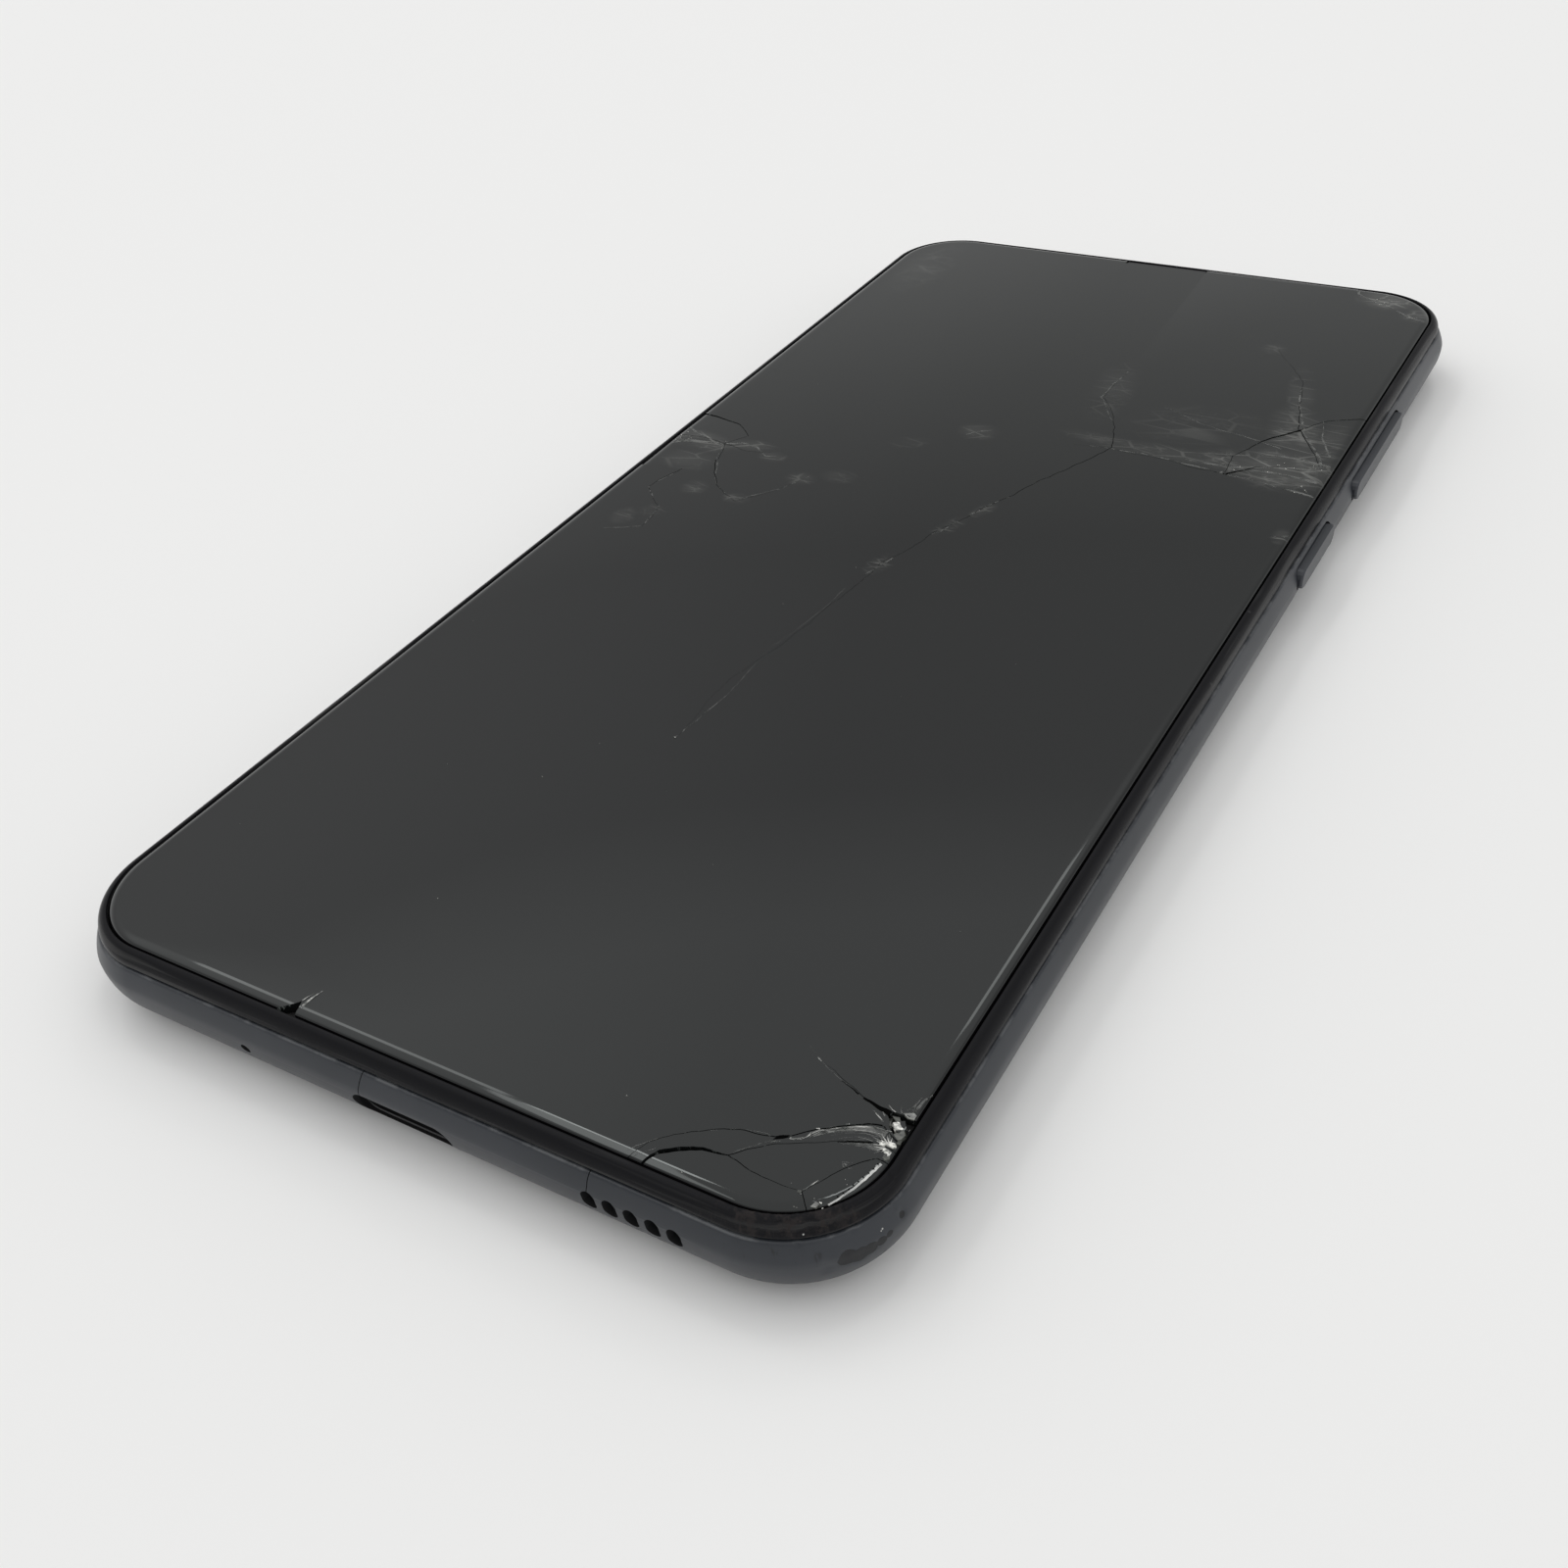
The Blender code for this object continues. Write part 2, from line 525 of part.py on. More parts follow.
def prism(name, points, low, high, material=None, axis="z"):
    return loft(name, [(points, low), (points, high)], material, axis)


def box(name, low, high, material=None):
    return prism(name, rectangle(low[:2], high[:2]), low[2], high[2], material)


def case_stack(name, stations, material, ring=False):
    """A body that follows the phone's outline through stations, each (inset, height)."""
    return loft(name, [(case_line(inset), height) for inset, height in stations], material, ring=ring)


def quarter(centre, reach, rise, steps):
    """Points on an elliptical arc: inset shrinks by reach and height grows by rise from the arc's centre."""
    points = []
    for step in range(steps + 1):
        angle = math.radians(90 * step / steps)
        points.append((centre[0] - reach * math.sin(angle), centre[1] - rise * math.cos(angle)))
    return points


def loft_cap(points, end, crown):
    """Two more outlines that round off the end of a key: nearly full size, and drawn in by the crown."""
    middle = (sum(p[0] for p in points) / len(points), sum(p[1] for p in points) / len(points))

    def drawn(amount):
        moved = []
        for a, b in points:
            away = Vector((a - middle[0], b - middle[1]))
            keep = max(away.length - amount, 0.0) / away.length
            moved.append((middle[0] + away.x * keep, middle[1] + away.y * keep))
        return moved

    edge = crown * KEY_CROWN_SHARE
    return [(points, end - crown), (drawn(edge), end - edge), (drawn(crown), end)]


def ribbon(name, route, low_x, high_x, material):
    """A flat ribbon whose side view follows route, points of (y, z)."""
    half = RIBBON_THICK / 2
    upper, lower = [], []
    for i, point in enumerate(route):
        before = Vector(route[max(i - 1, 0)])
        after = Vector(route[min(i + 1, len(route) - 1)])
        into = (Vector(point) - before).normalized() if i else (after - Vector(point)).normalized()
        out = (after - Vector(point)).normalized() if i < len(route) - 1 else into
        bend = (into + out).normalized()
        side = Vector((-bend.y, bend.x)) * half / max(bend.dot(into), 0.5)
        upper.append((point[0] + side.x, point[1] + side.y))
        lower.append((point[0] - side.x, point[1] - side.y))
    return prism(name, upper + lower[::-1], low_x, high_x, material, axis="x")


def signed_area(points):
    return sum(a[0] * b[1] - b[0] * a[1] for a, b in zip(points, points[1:] + points[:1])) / 2


def offset_line(points, amount):
    """A closed outline moved inwards by amount, or outwards where it is negative."""
    points = list(points)
    if signed_area(points) < 0:
        points = points[::-1]
    moved = []
    for before, here, after in zip(points[-1:] + points[:-1], points, points[1:] + points[:1]):
        into = (Vector(here) - Vector(before)).normalized()
        out = (Vector(after) - Vector(here)).normalized()
        first = Vector((-into.y, into.x))
        second = Vector((-out.y, out.x))
        middle = (first + second).normalized()
        reach = amount / max(middle.dot(first), 0.5)
        moved.append((here[0] + middle.x * reach, here[1] + middle.y * reach))
    return moved


def wedge_line(points, root, tip):
    """The outline of a crack that follows points and narrows from root to tip."""
    left, right = [], []
    for i, point in enumerate(points):
        before = Vector(points[max(i - 1, 0)])
        after = Vector(points[min(i + 1, len(points) - 1)])
        along = (after - before).normalized()
        half = (root + (tip - root) * i / (len(points) - 1)) / 2
        left.append((point[0] - along.y * half, point[1] + along.x * half))
        right.append((point[0] + along.y * half, point[1] - along.x * half))
    return left + right[::-1]


def shard_outlines():
    """Each glass fragment's outline between the fracture lines, run past the glass at its edge."""
    opened = CORNER_INNER[7:]
    bulge = [SLIVER * math.sin(math.pi * i / (len(opened) - 1)) for i in range(len(opened))]
    sliver = tuple((x, y - gap) for (x, y), gap in zip(opened, bulge))
    return {
        "corner_arc_shard": CORNER_OUTER + CORNER_INNER[::-1],
        "corner_inner_shard": CORNER_INNER[:8] + CORNER_LOW[1:] + CORNER_BEND[:-1][::-1],
        "corner_low_shard": sliver + CORNER_TIP[::-1] + CORNER_LOW[1:-1][::-1],
        "corner_edge_shard": (*CORNER_BEND, *CORNER_TIP[1:], NEAR_CORNER),
        "corner_splinter": BLOW_SPLINTER,
        "right_low_shard": RIGHT_LOW + RIGHT_RADIAL[1:],
        "right_middle_shard": RIGHT_RADIAL[:4] + RIGHT_RISE[1:] + RIGHT_BACK[1:-1],
        "right_high_shard": RIGHT_RISE + RIGHT_TOP[1:] + RIGHT_RADIAL[4:],
        "left_low_shard": LEFT_LOW + LEFT_RADIAL[1:],
        "left_high_shard": LEFT_RADIAL + LEFT_TOP[1:][::-1],
        "top_corner_shard": TOP_CORNER,
    }


def missing_outlines():
    """What is gone from the main pane: the blow's hole, the chip, and each group of fragments."""
    corner = (*CORNER_OUTER, NEAR_CORNER)
    right = RIGHT_LOW + RIGHT_BACK[1:-1][::-1] + RIGHT_TOP
    left = LEFT_LOW + LEFT_TOP[1:]
    return {
        "corner_place": offset_line(corner, -KERF / 2),
        "right_place": offset_line(right, -KERF / 2),
        "left_place": offset_line(left, -KERF / 2),
        "top_place": offset_line(TOP_CORNER, -KERF / 2),
        "blow_hole": BLOW_HOLE,
        "low_chip_hole": LOW_CHIP,
    }


# How far each fragment has tipped, in degrees about X and Y, and sunk, in millimetres
SHARD_TILTS = {
    "corner_arc_shard": (-0.5, 0.35, 0.02),
    "corner_inner_shard": (0.6, 0.5, 0.05),
    "corner_low_shard": (0.4, -0.3, 0.05),
    "corner_edge_shard": (-0.6, 0.6, 0.05),
    "corner_splinter": (6.0, -7.0, 0.06),
    "right_low_shard": (0.5, -0.4, 0.04),
    "right_middle_shard": (-0.6, 0.3, 0.05),
    "right_high_shard": (0.3, 0.7, 0.05),
    "left_low_shard": (0.4, -0.5, 0.05),
    "left_high_shard": (-0.5, -0.4, 0.04),
    "top_corner_shard": (-0.5, 0.4, 0.05),
}


def glass_stations():
    """The pane's section: straight at the bottom, then rounded over to the flat front."""
    shoulder = THICKNESS - GLASS_EDGE_DROP
    flat_inset = GLASS_INSET + GLASS_EDGE_WIDTH
    stations = [(GLASS_INSET, GLASS_BOTTOM)]
    for step in range(GLASS_EDGE_STEPS + 1):
        angle = math.radians(90 * step / GLASS_EDGE_STEPS)
        inset = flat_inset - GLASS_EDGE_WIDTH * math.cos(angle)
        stations.append((inset, shoulder + GLASS_EDGE_DROP * math.sin(angle)))
    return stations


def glass_region(name, outline):
    return prism(name, outline, GLASS_BOTTOM - PAST, THICKNESS + PAST)


def make_cover_glass(material, notch):
    pane = case_stack("cover_glass", glass_stations(), material)
    for name, outline in missing_outlines().items():
        cut(pane, glass_region(name, outline))
    for name, line in SLITS.items():
        cut(pane, glass_region(f"slit_{name}", wedge_line(line, SLIT_ROOT, SLIT_TIP)))
    return cut(pane, notch)


def make_shards(material):
    for name, outline in shard_outlines().items():
        shard = case_stack(name, glass_stations(), material)
        tip_x, tip_y, sunk = SHARD_TILTS[name]
        middle = Vector((sum(x for x, _ in outline), sum(y for _, y in outline), 0)) / len(outline)
        middle.z = THICKNESS
        turn = Euler((math.radians(tip_x), math.radians(tip_y), 0)).to_matrix().to_4x4()
        turn.translation = middle - turn.to_3x3() @ middle - Vector((0, 0, sunk * FRACTURE_UNIT))
        shard.data.transform(turn)
        region = glass_region(f"{name}_region", offset_line(outline, KERF / 2))
        combine(shard, region, "INTERSECT")


def side_wall_points(inner=0.0):
    """The rear cover's section from the flat back out to the widest outline, or that much further in."""
    centre = (BELLY_INSET, BELLY_HEIGHT)
    return quarter(centre, BELLY_INSET - inner, BELLY_HEIGHT - inner, BELLY_STEPS)


def cover_stations():
    outer = side_wall_points()
    shoulder = (RIM_SHOULDER, (BELLY_HEIGHT + RIM_HEIGHT) / 2)
    chamfer = (RIM_INSET - RIM_CHAMFER, RIM_HEIGHT - RIM_CHAMFER)
    rim = [(RIM_INSET, RIM_HEIGHT), (RIM_INSET + RIM_WIDTH, RIM_HEIGHT)]
    lip = [
        (RIM_INSET + RIM_WIDTH, RIM_HEIGHT - RIM_LIP),
        (COVER_WALL + SLIDE / 2, RIM_HEIGHT - RIM_LIP - RIM_CHAMFER),
    ]
    return outer + [shoulder, chamfer] + rim + lip + side_wall_points(COVER_WALL)[::-1]


def port_cutters():
    """The slots and holes of the bottom edge, each run from outside the cover to inside the skirt."""
    outside = -HALF_Y - PAST
    inside = -HALF_Y + SKIRT_INNER + PAST
    usb = prism("usb_slot", slot(USB_WIDTH, USB_HEIGHT, (0, USB_Z)), outside, inside, axis="y")
    mic = prism("mic_hole", circle(MIC_RADIUS, (MIC_X, MIC_Z)), outside, inside, axis="y")
    vents = []
    for i in range(SPEAKER_SLOTS):
        middle = (SPEAKER_X + i * SPEAKER_PITCH, SPEAKER_Z)
        outline = slot(SPEAKER_SLOT[0], SPEAKER_SLOT[1], middle, VENT_STEPS)
        vents.append(prism(f"speaker_vent_{i + 1}", outline, outside, -HALF_Y + SKIRT_INSET, axis="y"))
    return usb, mic, vents


def key_layout():
    """Name, middle and length of each side key, and the places of its plungers."""
    return (
        ("power_key", POWER_Y, POWER_LENGTH, (0.0,)),
        ("volume_rocker", VOLUME_Y, VOLUME_LENGTH, (-VOLUME_PLUNGERS, VOLUME_PLUNGERS)),
    )


def key_cap_line(length, middle, grow=0.0):
    return slot(length + 2 * grow, KEY_HEIGHT + 2 * grow, (middle, KEY_Z))


def flange_outer():
    return HALF_X - COVER_WALL - KEY_PLAY


def corner_spot(bearing, height, inset):
    """A point on the corner that took the fall, at a bearing in degrees from +X round the corner's centre."""
    reach = CORNER_RADIUS - inset
    angle = math.radians(bearing)
    centre_x = HALF_X - CORNER_RADIUS
    centre_y = -(HALF_Y - CORNER_RADIUS)
    return Vector((centre_x + reach * math.cos(angle), centre_y + reach * math.sin(angle), height))


def chip_cutter(index, bearing, height, radius, inset):
    """An irregular lump whose inner part bites a shallow, faceted chip out of the surface."""
    dice = random.Random(CHIP_SEED + index)
    bm = bmesh.new()
    bmesh.ops.create_icosphere(bm, subdivisions=1, radius=radius)
    centre = corner_spot(bearing, height, inset - radius * (1 - CHIP_BITE))
    for vert in bm.verts:
        vert.co = vert.co * dice.uniform(*CHIP_ROUGH) + centre
    return place(f"chip_{index}", bm)


def chip_inset(piece, height):
    """How far inside the widest outline a piece's surface lies at a height."""
    if piece == "rear_cover":
        below = max(BELLY_HEIGHT - height, 0) / BELLY_HEIGHT
        return BELLY_INSET * (1 - math.sqrt(1 - below**2))
    share = (height - RIM_HEIGHT - SEAM) / (BEZEL_HEIGHT - RIM_HEIGHT - SEAM)
    return BEZEL_INSET + (BEZEL_TOP_INSET - BEZEL_INSET) * share**2


def chip_pieces(pieces):
    for index, (name, bearing, height, radius) in enumerate(CHIPS):
        level = height * FRACTURE_UNIT
        lump = chip_cutter(index, bearing, level, radius * FRACTURE_UNIT, chip_inset(name, level))
        cut(pieces[name], lump)


def crack_cover(cover):
    """Hairlines from the rim down to the USB slot and to the first speaker vent."""
    cracks = (
        ("usb", USB_CRACK_X, USB_CRACK_STEPS, USB_Z),
        ("speaker", SPEAKER_CRACK_X, SPEAKER_CRACK_STEPS, SPEAKER_Z),
    )
    for name, rim_x, (first, second), port_z in cracks:
        middle = (rim_x + first, (RIM_HEIGHT + port_z) / 2)
        line = ((rim_x, RIM_HEIGHT + PAST), middle, (middle[0] + second, port_z))
        outline = wedge_line(line, COVER_CRACK_WIDTH, COVER_CRACK_WIDTH)
        depth = -HALF_Y + RIM_INSET + RIM_WIDTH + SEAT
        cut(cover, prism(f"cover_crack_{name}", outline, -HALF_Y - PAST, depth, axis="y"))


def make_rear_cover(material, ports, openings):
    usb, mic, vents = ports
    cover = case_stack("rear_cover", cover_stations(), material)
    cut(cover, usb, mic, *vents)
    relief_line = slot(USB_WIDTH + 2 * SEAT, USB_HEIGHT + 2 * SEAT, (0, USB_Z))
    relief_start = -HALF_Y + USB_SET_BACK - SEAT
    relief = prism("usb_relief", relief_line, relief_start, relief_start + USB_DEPTH, axis="y")
    cut(cover, relief, *openings)
    for name, middle, length, _ in key_layout():
        outline = key_cap_line(length, middle, SLIDE)
        cut(cover, prism(f"{name}_opening", outline, HALF_X - SKIRT_INSET, HALF_X + PAST, axis="x"))
    face_line = slot(TRAY_FACE[0] + 2 * SLIDE, TRAY_FACE[1] + 2 * SLIDE, (TRAY_Y, TRAY_Z))
    cut(cover, prism("tray_opening", face_line, -HALF_X - PAST, -HALF_X + SKIRT_INSET, axis="x"))
    crack_cover(cover)
    return cover


def frame_stations():
    bezel_foot = RIM_HEIGHT + SEAM
    rise = BEZEL_HEIGHT - bezel_foot
    reach = BEZEL_TOP_INSET - BEZEL_INSET
    bezel = []
    for step in range(BEZEL_STEPS + 1):
        angle = math.radians(90 * step / BEZEL_STEPS)
        bezel.append((BEZEL_INSET + reach * (1 - math.cos(angle)), bezel_foot + rise * math.sin(angle)))
    return [
        (SKIRT_INNER, PLATE_BOTTOM),
        (SKIRT_INNER, SKIRT_BOTTOM),
        (SKIRT_INSET, SKIRT_BOTTOM),
        (SKIRT_INSET, bezel_foot),
        *bezel,
        (BEZEL_TOP_INSET + LEDGE_DRAFT, LEDGE_HEIGHT),
        (LEDGE_INSET, LEDGE_HEIGHT),
        (LEDGE_INSET, PLATE_TOP),
    ]


def screw_layout():
    """Where each screw goes, and the underside that its head holds."""
    bracket_bottom = BOARD_BOTTOM - SEAT - BRACKET_THICK
    spots = [(x, y, bracket_bottom) for x, y in BRACKET_SCREWS]
    return spots + [(x, y, BOARD_BOTTOM) for x, y in BOARD_SCREWS + LOW_SCREWS]


def screw_hole(index, x, y):
    hole = circle(SCREW_RADIUS + SEAT, (x, y))
    return prism(f"screw_hole_{index}", hole, 0, PLATE_BOTTOM)


def make_mid_frame(material, ports, holes):
    usb, mic, _ = ports
    frame = case_stack("mid_frame", frame_stations(), material)
    for index, (x, y, _) in enumerate(screw_layout()):
        boss = circle(SCREW_RADIUS + SEAT + BOSS_WALL, (x, y))
        join(frame, prism(f"boss_{index + 1}", boss, BOSS_BOTTOM, PLATE_BOTTOM + PLATE_THICK / 2))
    rib_top = PLATE_BOTTOM + PLATE_THICK / 2
    for name, low in (("low", BATTERY_LOW_Y - SEAT - RIB), ("high", BATTERY_HIGH_Y + SEAT)):
        rib_low = (-BATTERY_HALF_WIDTH, low, PLATE_BOTTOM - RIB_DEPTH)
        join(frame, box(f"battery_rib_{name}", rib_low, (BATTERY_HALF_WIDTH, low + RIB, rib_top)))
    shell_line = slot(USB_WIDTH + 2 * SEAT, USB_HEIGHT + 2 * SEAT, (0, USB_Z))
    shell_end = -HALF_Y + USB_SET_BACK + USB_DEPTH + SEAT
    cut(frame, prism("usb_bay", shell_line, -HALF_Y - PAST, shell_end, axis="y"))
    cut(frame, mic)
    vent_length = SPEAKER_PITCH * (SPEAKER_SLOTS - 1) + SPEAKER_SLOT[0]
    vent_middle = (SPEAKER_X + SPEAKER_PITCH * (SPEAKER_SLOTS - 1) / 2, SPEAKER_Z)
    vent_line = slot(vent_length, SPEAKER_SLOT[1], vent_middle, VENT_STEPS)
    skirt_end = -HALF_Y + SKIRT_INNER + PAST
    cut(frame, prism("speaker_window", vent_line, -HALF_Y - PAST, skirt_end, axis="y"))
    for name, middle, length, plungers in key_layout():
        half = length / 2 + FLANGE_OUT + SEAT
        pocket_x = HALF_X - SKIRT_INSET - KEY_POCKET
        low = (pocket_x, middle - half, FLANGE_Z - FLANGE_HEIGHT / 2 - SEAT)
        high = (HALF_X + PAST, middle + half, RIM_HEIGHT - SEAM / 2)
        cut(frame, box(f"{name}_pocket", low, high))
        for index, shift in enumerate(plungers):
            hole = circle(PLUNGER_RADIUS + SEAT, (middle + shift, PLUNGER_Z))
            start = HALF_X - SKIRT_INNER - PAST
            cut(frame, prism(f"{name}_bore_{index + 1}", hole, start, HALF_X, axis="x"))
    blade = (TRAY_BLADE[0] + 2 * SEAT, TRAY_BLADE[1] + 2 * SEAT)
    low = (-HALF_X - PAST, TRAY_Y - blade[0] / 2, TRAY_Z - blade[1] / 2)
    high = (-HALF_X + SKIRT_INNER + PAST, TRAY_Y + blade[0] / 2, TRAY_Z + blade[1] / 2)
    cut(frame, box("tray_gate", low, high))
    return cut(frame, *holes)


def make_keys(material):
    for name, middle, length, plungers in key_layout():
        outer = HALF_X + KEY_PROUD
        cap_line = key_cap_line(length, middle)
        flange_x = flange_outer()
        sections = [(cap_line, flange_x - FLANGE_THICK / 2), *loft_cap(cap_line, outer, KEY_CROWN)]
        key = loft(name, sections, material, axis="x")
        half = length / 2 + FLANGE_OUT
        low = (flange_x - FLANGE_THICK, middle - half, FLANGE_Z - FLANGE_HEIGHT / 2)
        high = (flange_x, middle + half, FLANGE_Z + FLANGE_HEIGHT / 2)
        join(key, box(f"{name}_flange", low, high))
        tip = HALF_X - SKIRT_INNER + SLIDE
        for index, shift in enumerate(plungers):
            pin = circle(PLUNGER_RADIUS, (middle + shift, PLUNGER_Z))
            plunger_end = flange_x - FLANGE_THICK / 2
            join(key, prism(f"{name}_plunger_{index + 1}", pin, tip, plunger_end, axis="x"))
        pivot = Vector((flange_x, middle, KEY_Z))
        key.data.transform(Matrix.Translation(-pivot))
        key.location = pivot


def make_key_flex(material):
    """The switch strip behind the keys, with a metal dome under each plunger."""
    face = HALF_X - SKIRT_INNER - SEAT
    low = (face - KEY_FLEX_THICK, POWER_Y - KEY_FLEX_END, PLUNGER_Z - KEY_FLEX_HEIGHT / 2)
    high = (face, VOLUME_Y + VOLUME_PLUNGERS + KEY_FLEX_END, PLUNGER_Z + KEY_FLEX_HEIGHT / 2)
    strip = box("side_key_flex", low, high, material)
    reach = HALF_X - SKIRT_INNER + SLIDE - KEY_TRAVEL - DOME_GAP
    for name, middle, _, plungers in key_layout():
        for index, shift in enumerate(plungers):
            dome = circle(DOME_RADIUS, (middle + shift, PLUNGER_Z), PIN_SIDES)
            join(strip, prism(f"{name}_dome_{index + 1}", dome, face - DOME_THICK, reach, axis="x"))


def make_tray(face_material, reader_material):
    face_x = -HALF_X + TRAY_FACE_INSET
    face_line = slot(TRAY_FACE[0], TRAY_FACE[1], (TRAY_Y, TRAY_Z))
    tray = prism("sim_tray", face_line, face_x, face_x + TRAY_FACE[2], face_material, axis="x")
    blade_start = face_x + TRAY_FACE[2]
    blade_end = blade_start + TRAY_BLADE[2]
    half = TRAY_BLADE[0] / 2
    level = (TRAY_Z - TRAY_BLADE[1] / 2, TRAY_Z + TRAY_BLADE[1] / 2)
    low = (blade_start - TRAY_FACE[2] / 2, TRAY_Y - half, level[0])
    join(tray, box("tray_blade", low, (blade_end, TRAY_Y + half, level[1])))
    for index in range(TRAY_WINDOW_COUNT):
        start = blade_start + TRAY_WINDOW_START + index * TRAY_WINDOW_PITCH
        window_low = (start, TRAY_Y - TRAY_WINDOW_WIDTH / 2, 0)
        window_high = (start + TRAY_WINDOW_DEPTH, TRAY_Y + TRAY_WINDOW_WIDTH / 2, THICKNESS)
        cut(tray, box(f"tray_window_{index + 1}", window_low, window_high))
    pin_y = TRAY_Y + (TRAY_BLADE[0] + TRAY_FACE[0]) / 4
    pin = circle(TRAY_PIN_RADIUS, (pin_y, TRAY_Z), PIN_SIDES)
    cut(tray, prism("tray_pin_hole", pin, face_x - PAST, blade_start + PAST, axis="x"))
    pivot = Vector((face_x, TRAY_Y, TRAY_Z))
    tray.data.transform(Matrix.Translation(-pivot))
    tray.location = pivot
    rail = half + SEAT
    inner_x = blade_end + SEAT
    start_x = -HALF_X + SKIRT_INNER + SEAT
    low = (start_x, TRAY_Y - rail - READER_RAIL, BOARD_TOP + SEAT)
    high = (inner_x + READER_RAIL, TRAY_Y + rail + READER_RAIL, CEILING)
    reader = box("sim_reader", low, high, reader_material)
    room_low = (start_x - PAST, TRAY_Y - rail, 0)
    cut(reader, box("tray_room", room_low, (inner_x, TRAY_Y + rail, THICKNESS)))


def make_usb(shell_material, tongue_material):
    mouth = -HALF_Y + USB_SET_BACK
    back = mouth + USB_DEPTH
    width = USB_WIDTH - 2 * USB_MARGIN
    height = USB_HEIGHT - 2 * USB_MARGIN
    shell = prism("usb_socket", slot(width, height, (0, USB_Z)), mouth, back, shell_material, axis="y")
    inner_line = slot(width - 2 * USB_SHELL_WALL, height - 2 * USB_SHELL_WALL, (0, USB_Z))
    cut(shell, prism("usb_cavity", inner_line, mouth - PAST, back - USB_BACK_WALL, axis="y"))
    tongue_back = back - USB_BACK_WALL - SEAT
    across, thick, reach = USB_TONGUE
    low = (-across / 2, tongue_back - reach, USB_Z - thick / 2)
    box("usb_tongue", low, (across / 2, tongue_back, USB_Z + thick / 2), tongue_material)


def make_speaker(box_material, mesh_material):
    (x0, y0), (x1, y1) = SPEAKER_BOX_LOW, SPEAKER_BOX_HIGH
    floor = COVER_WALL + 2 * SEAT
    middle = ((x0 + x1) / 2, (y0 + y1) / 2)
    outline = rounded((x1 - x0) / 2, (y1 - y0) / 2, SPEAKER_BOX_RADIUS, middle, SLOT_STEPS)
    speaker = prism("speaker_box", outline, floor, CEILING, box_material)
    join(speaker, box("speaker_ear", (*SPEAKER_EAR_LOW, BOARD_BOTTOM), (*SPEAKER_EAR_HIGH, BOARD_TOP)))
    vent_length = SPEAKER_PITCH * (SPEAKER_SLOTS - 1) + SPEAKER_SLOT[0]
    vent_middle = (SPEAKER_X + SPEAKER_PITCH * (SPEAKER_SLOTS - 1) / 2, SPEAKER_Z)
    mouth_size = (vent_length - SPEAKER_NOZZLE, SPEAKER_SLOT[1] - SPEAKER_NOZZLE)
    mouth = slot(*mouth_size, vent_middle, VENT_STEPS)
    cut(speaker, prism("speaker_mouth", mouth, y0 - PAST, y0 + 2 * PAST, axis="y"))
    mesh_size = (vent_length + SPEAKER_NOZZLE, SPEAKER_SLOT[1] + SPEAKER_NOZZLE)
    mesh_line = slot(*mesh_size, vent_middle, VENT_STEPS)
    mesh_inner = -HALF_Y + SKIRT_INSET - TAPE_SEAT
    prism("speaker_mesh", mesh_line, mesh_inner - SPEAKER_MESH_THICK, mesh_inner, mesh_material, axis="y")
    return speaker


def make_camera(name, middle_y, side, material):
    bottom = WINDOW_DEEP + WINDOW_THICK + SEAT
    half = side / 2
    low = (CAMERA_X - half, middle_y - half, bottom + CAMERA_BARREL_LENGTH)
    camera = box(name, low, (CAMERA_X + half, middle_y + half, CEILING), material)
    barrel = circle(CAMERA_BARREL, (CAMERA_X, middle_y), BARREL_SIDES)
    top = bottom + CAMERA_BARREL_LENGTH
    join(camera, prism(f"{name}_barrel", barrel, bottom, top + CAMERA_BARREL_LENGTH / 2))


def window_line(grow):
    middle = (CAMERA_X, (MAIN_CAMERA_Y + WIDE_CAMERA_Y) / 2)
    return rounded(WINDOW[0] / 2 + grow, WINDOW[1] / 2 + grow, WINDOW_RADIUS + grow, middle, SLOT_STEPS)


def rear_openings():
    """The window's and the flash's holes through the flat back."""
    window_hole = window_line(2 * SEAT + WINDOW_BEZEL)
    flash_hole = circle(FLASH_RADIUS + SLIDE, (CAMERA_X, FLASH_Y), BARREL_SIDES)
    return (
        prism("window_hole", window_hole, -PAST, COVER_WALL + PAST),
        prism("flash_hole", flash_hole, -PAST, COVER_WALL + PAST),
    )


def make_rear_window(glass_material, bezel_material, flash_material):
    top = WINDOW_DEEP + WINDOW_THICK
    prism("camera_window", window_line(0), WINDOW_DEEP, top, glass_material)
    inner = window_line(SEAT)
    outer = window_line(SEAT + WINDOW_BEZEL)
    loops = [(inner, WINDOW_DEEP), (outer, WINDOW_DEEP), (outer, top), (inner, top)]
    loft("camera_bezel", loops, bezel_material, ring=True)
    lens = circle(FLASH_RADIUS, (CAMERA_X, FLASH_Y), BARREL_SIDES)
    prism("flash_lens", lens, WINDOW_DEEP, top, flash_material)


def front_camera_hole(name, low, high):
    return prism(name, circle(FRONT_CAMERA_RADIUS + SEAT, FRONT_CAMERA_XY), low, high)


def make_front_camera(material):
    x, y = FRONT_CAMERA_XY
    half = FRONT_CAMERA_SIDE / 2
    base_low = BOARD_TOP + SEAT
    high = (x + half, y + half, base_low + FRONT_CAMERA_BASE)
    camera = box("front_camera", (x - half, y - half, base_low), high, material)
    barrel = circle(FRONT_CAMERA_RADIUS, FRONT_CAMERA_XY)
    join(camera, prism("front_barrel", barrel, base_low + FRONT_CAMERA_BASE / 2, DISPLAY_TOP))


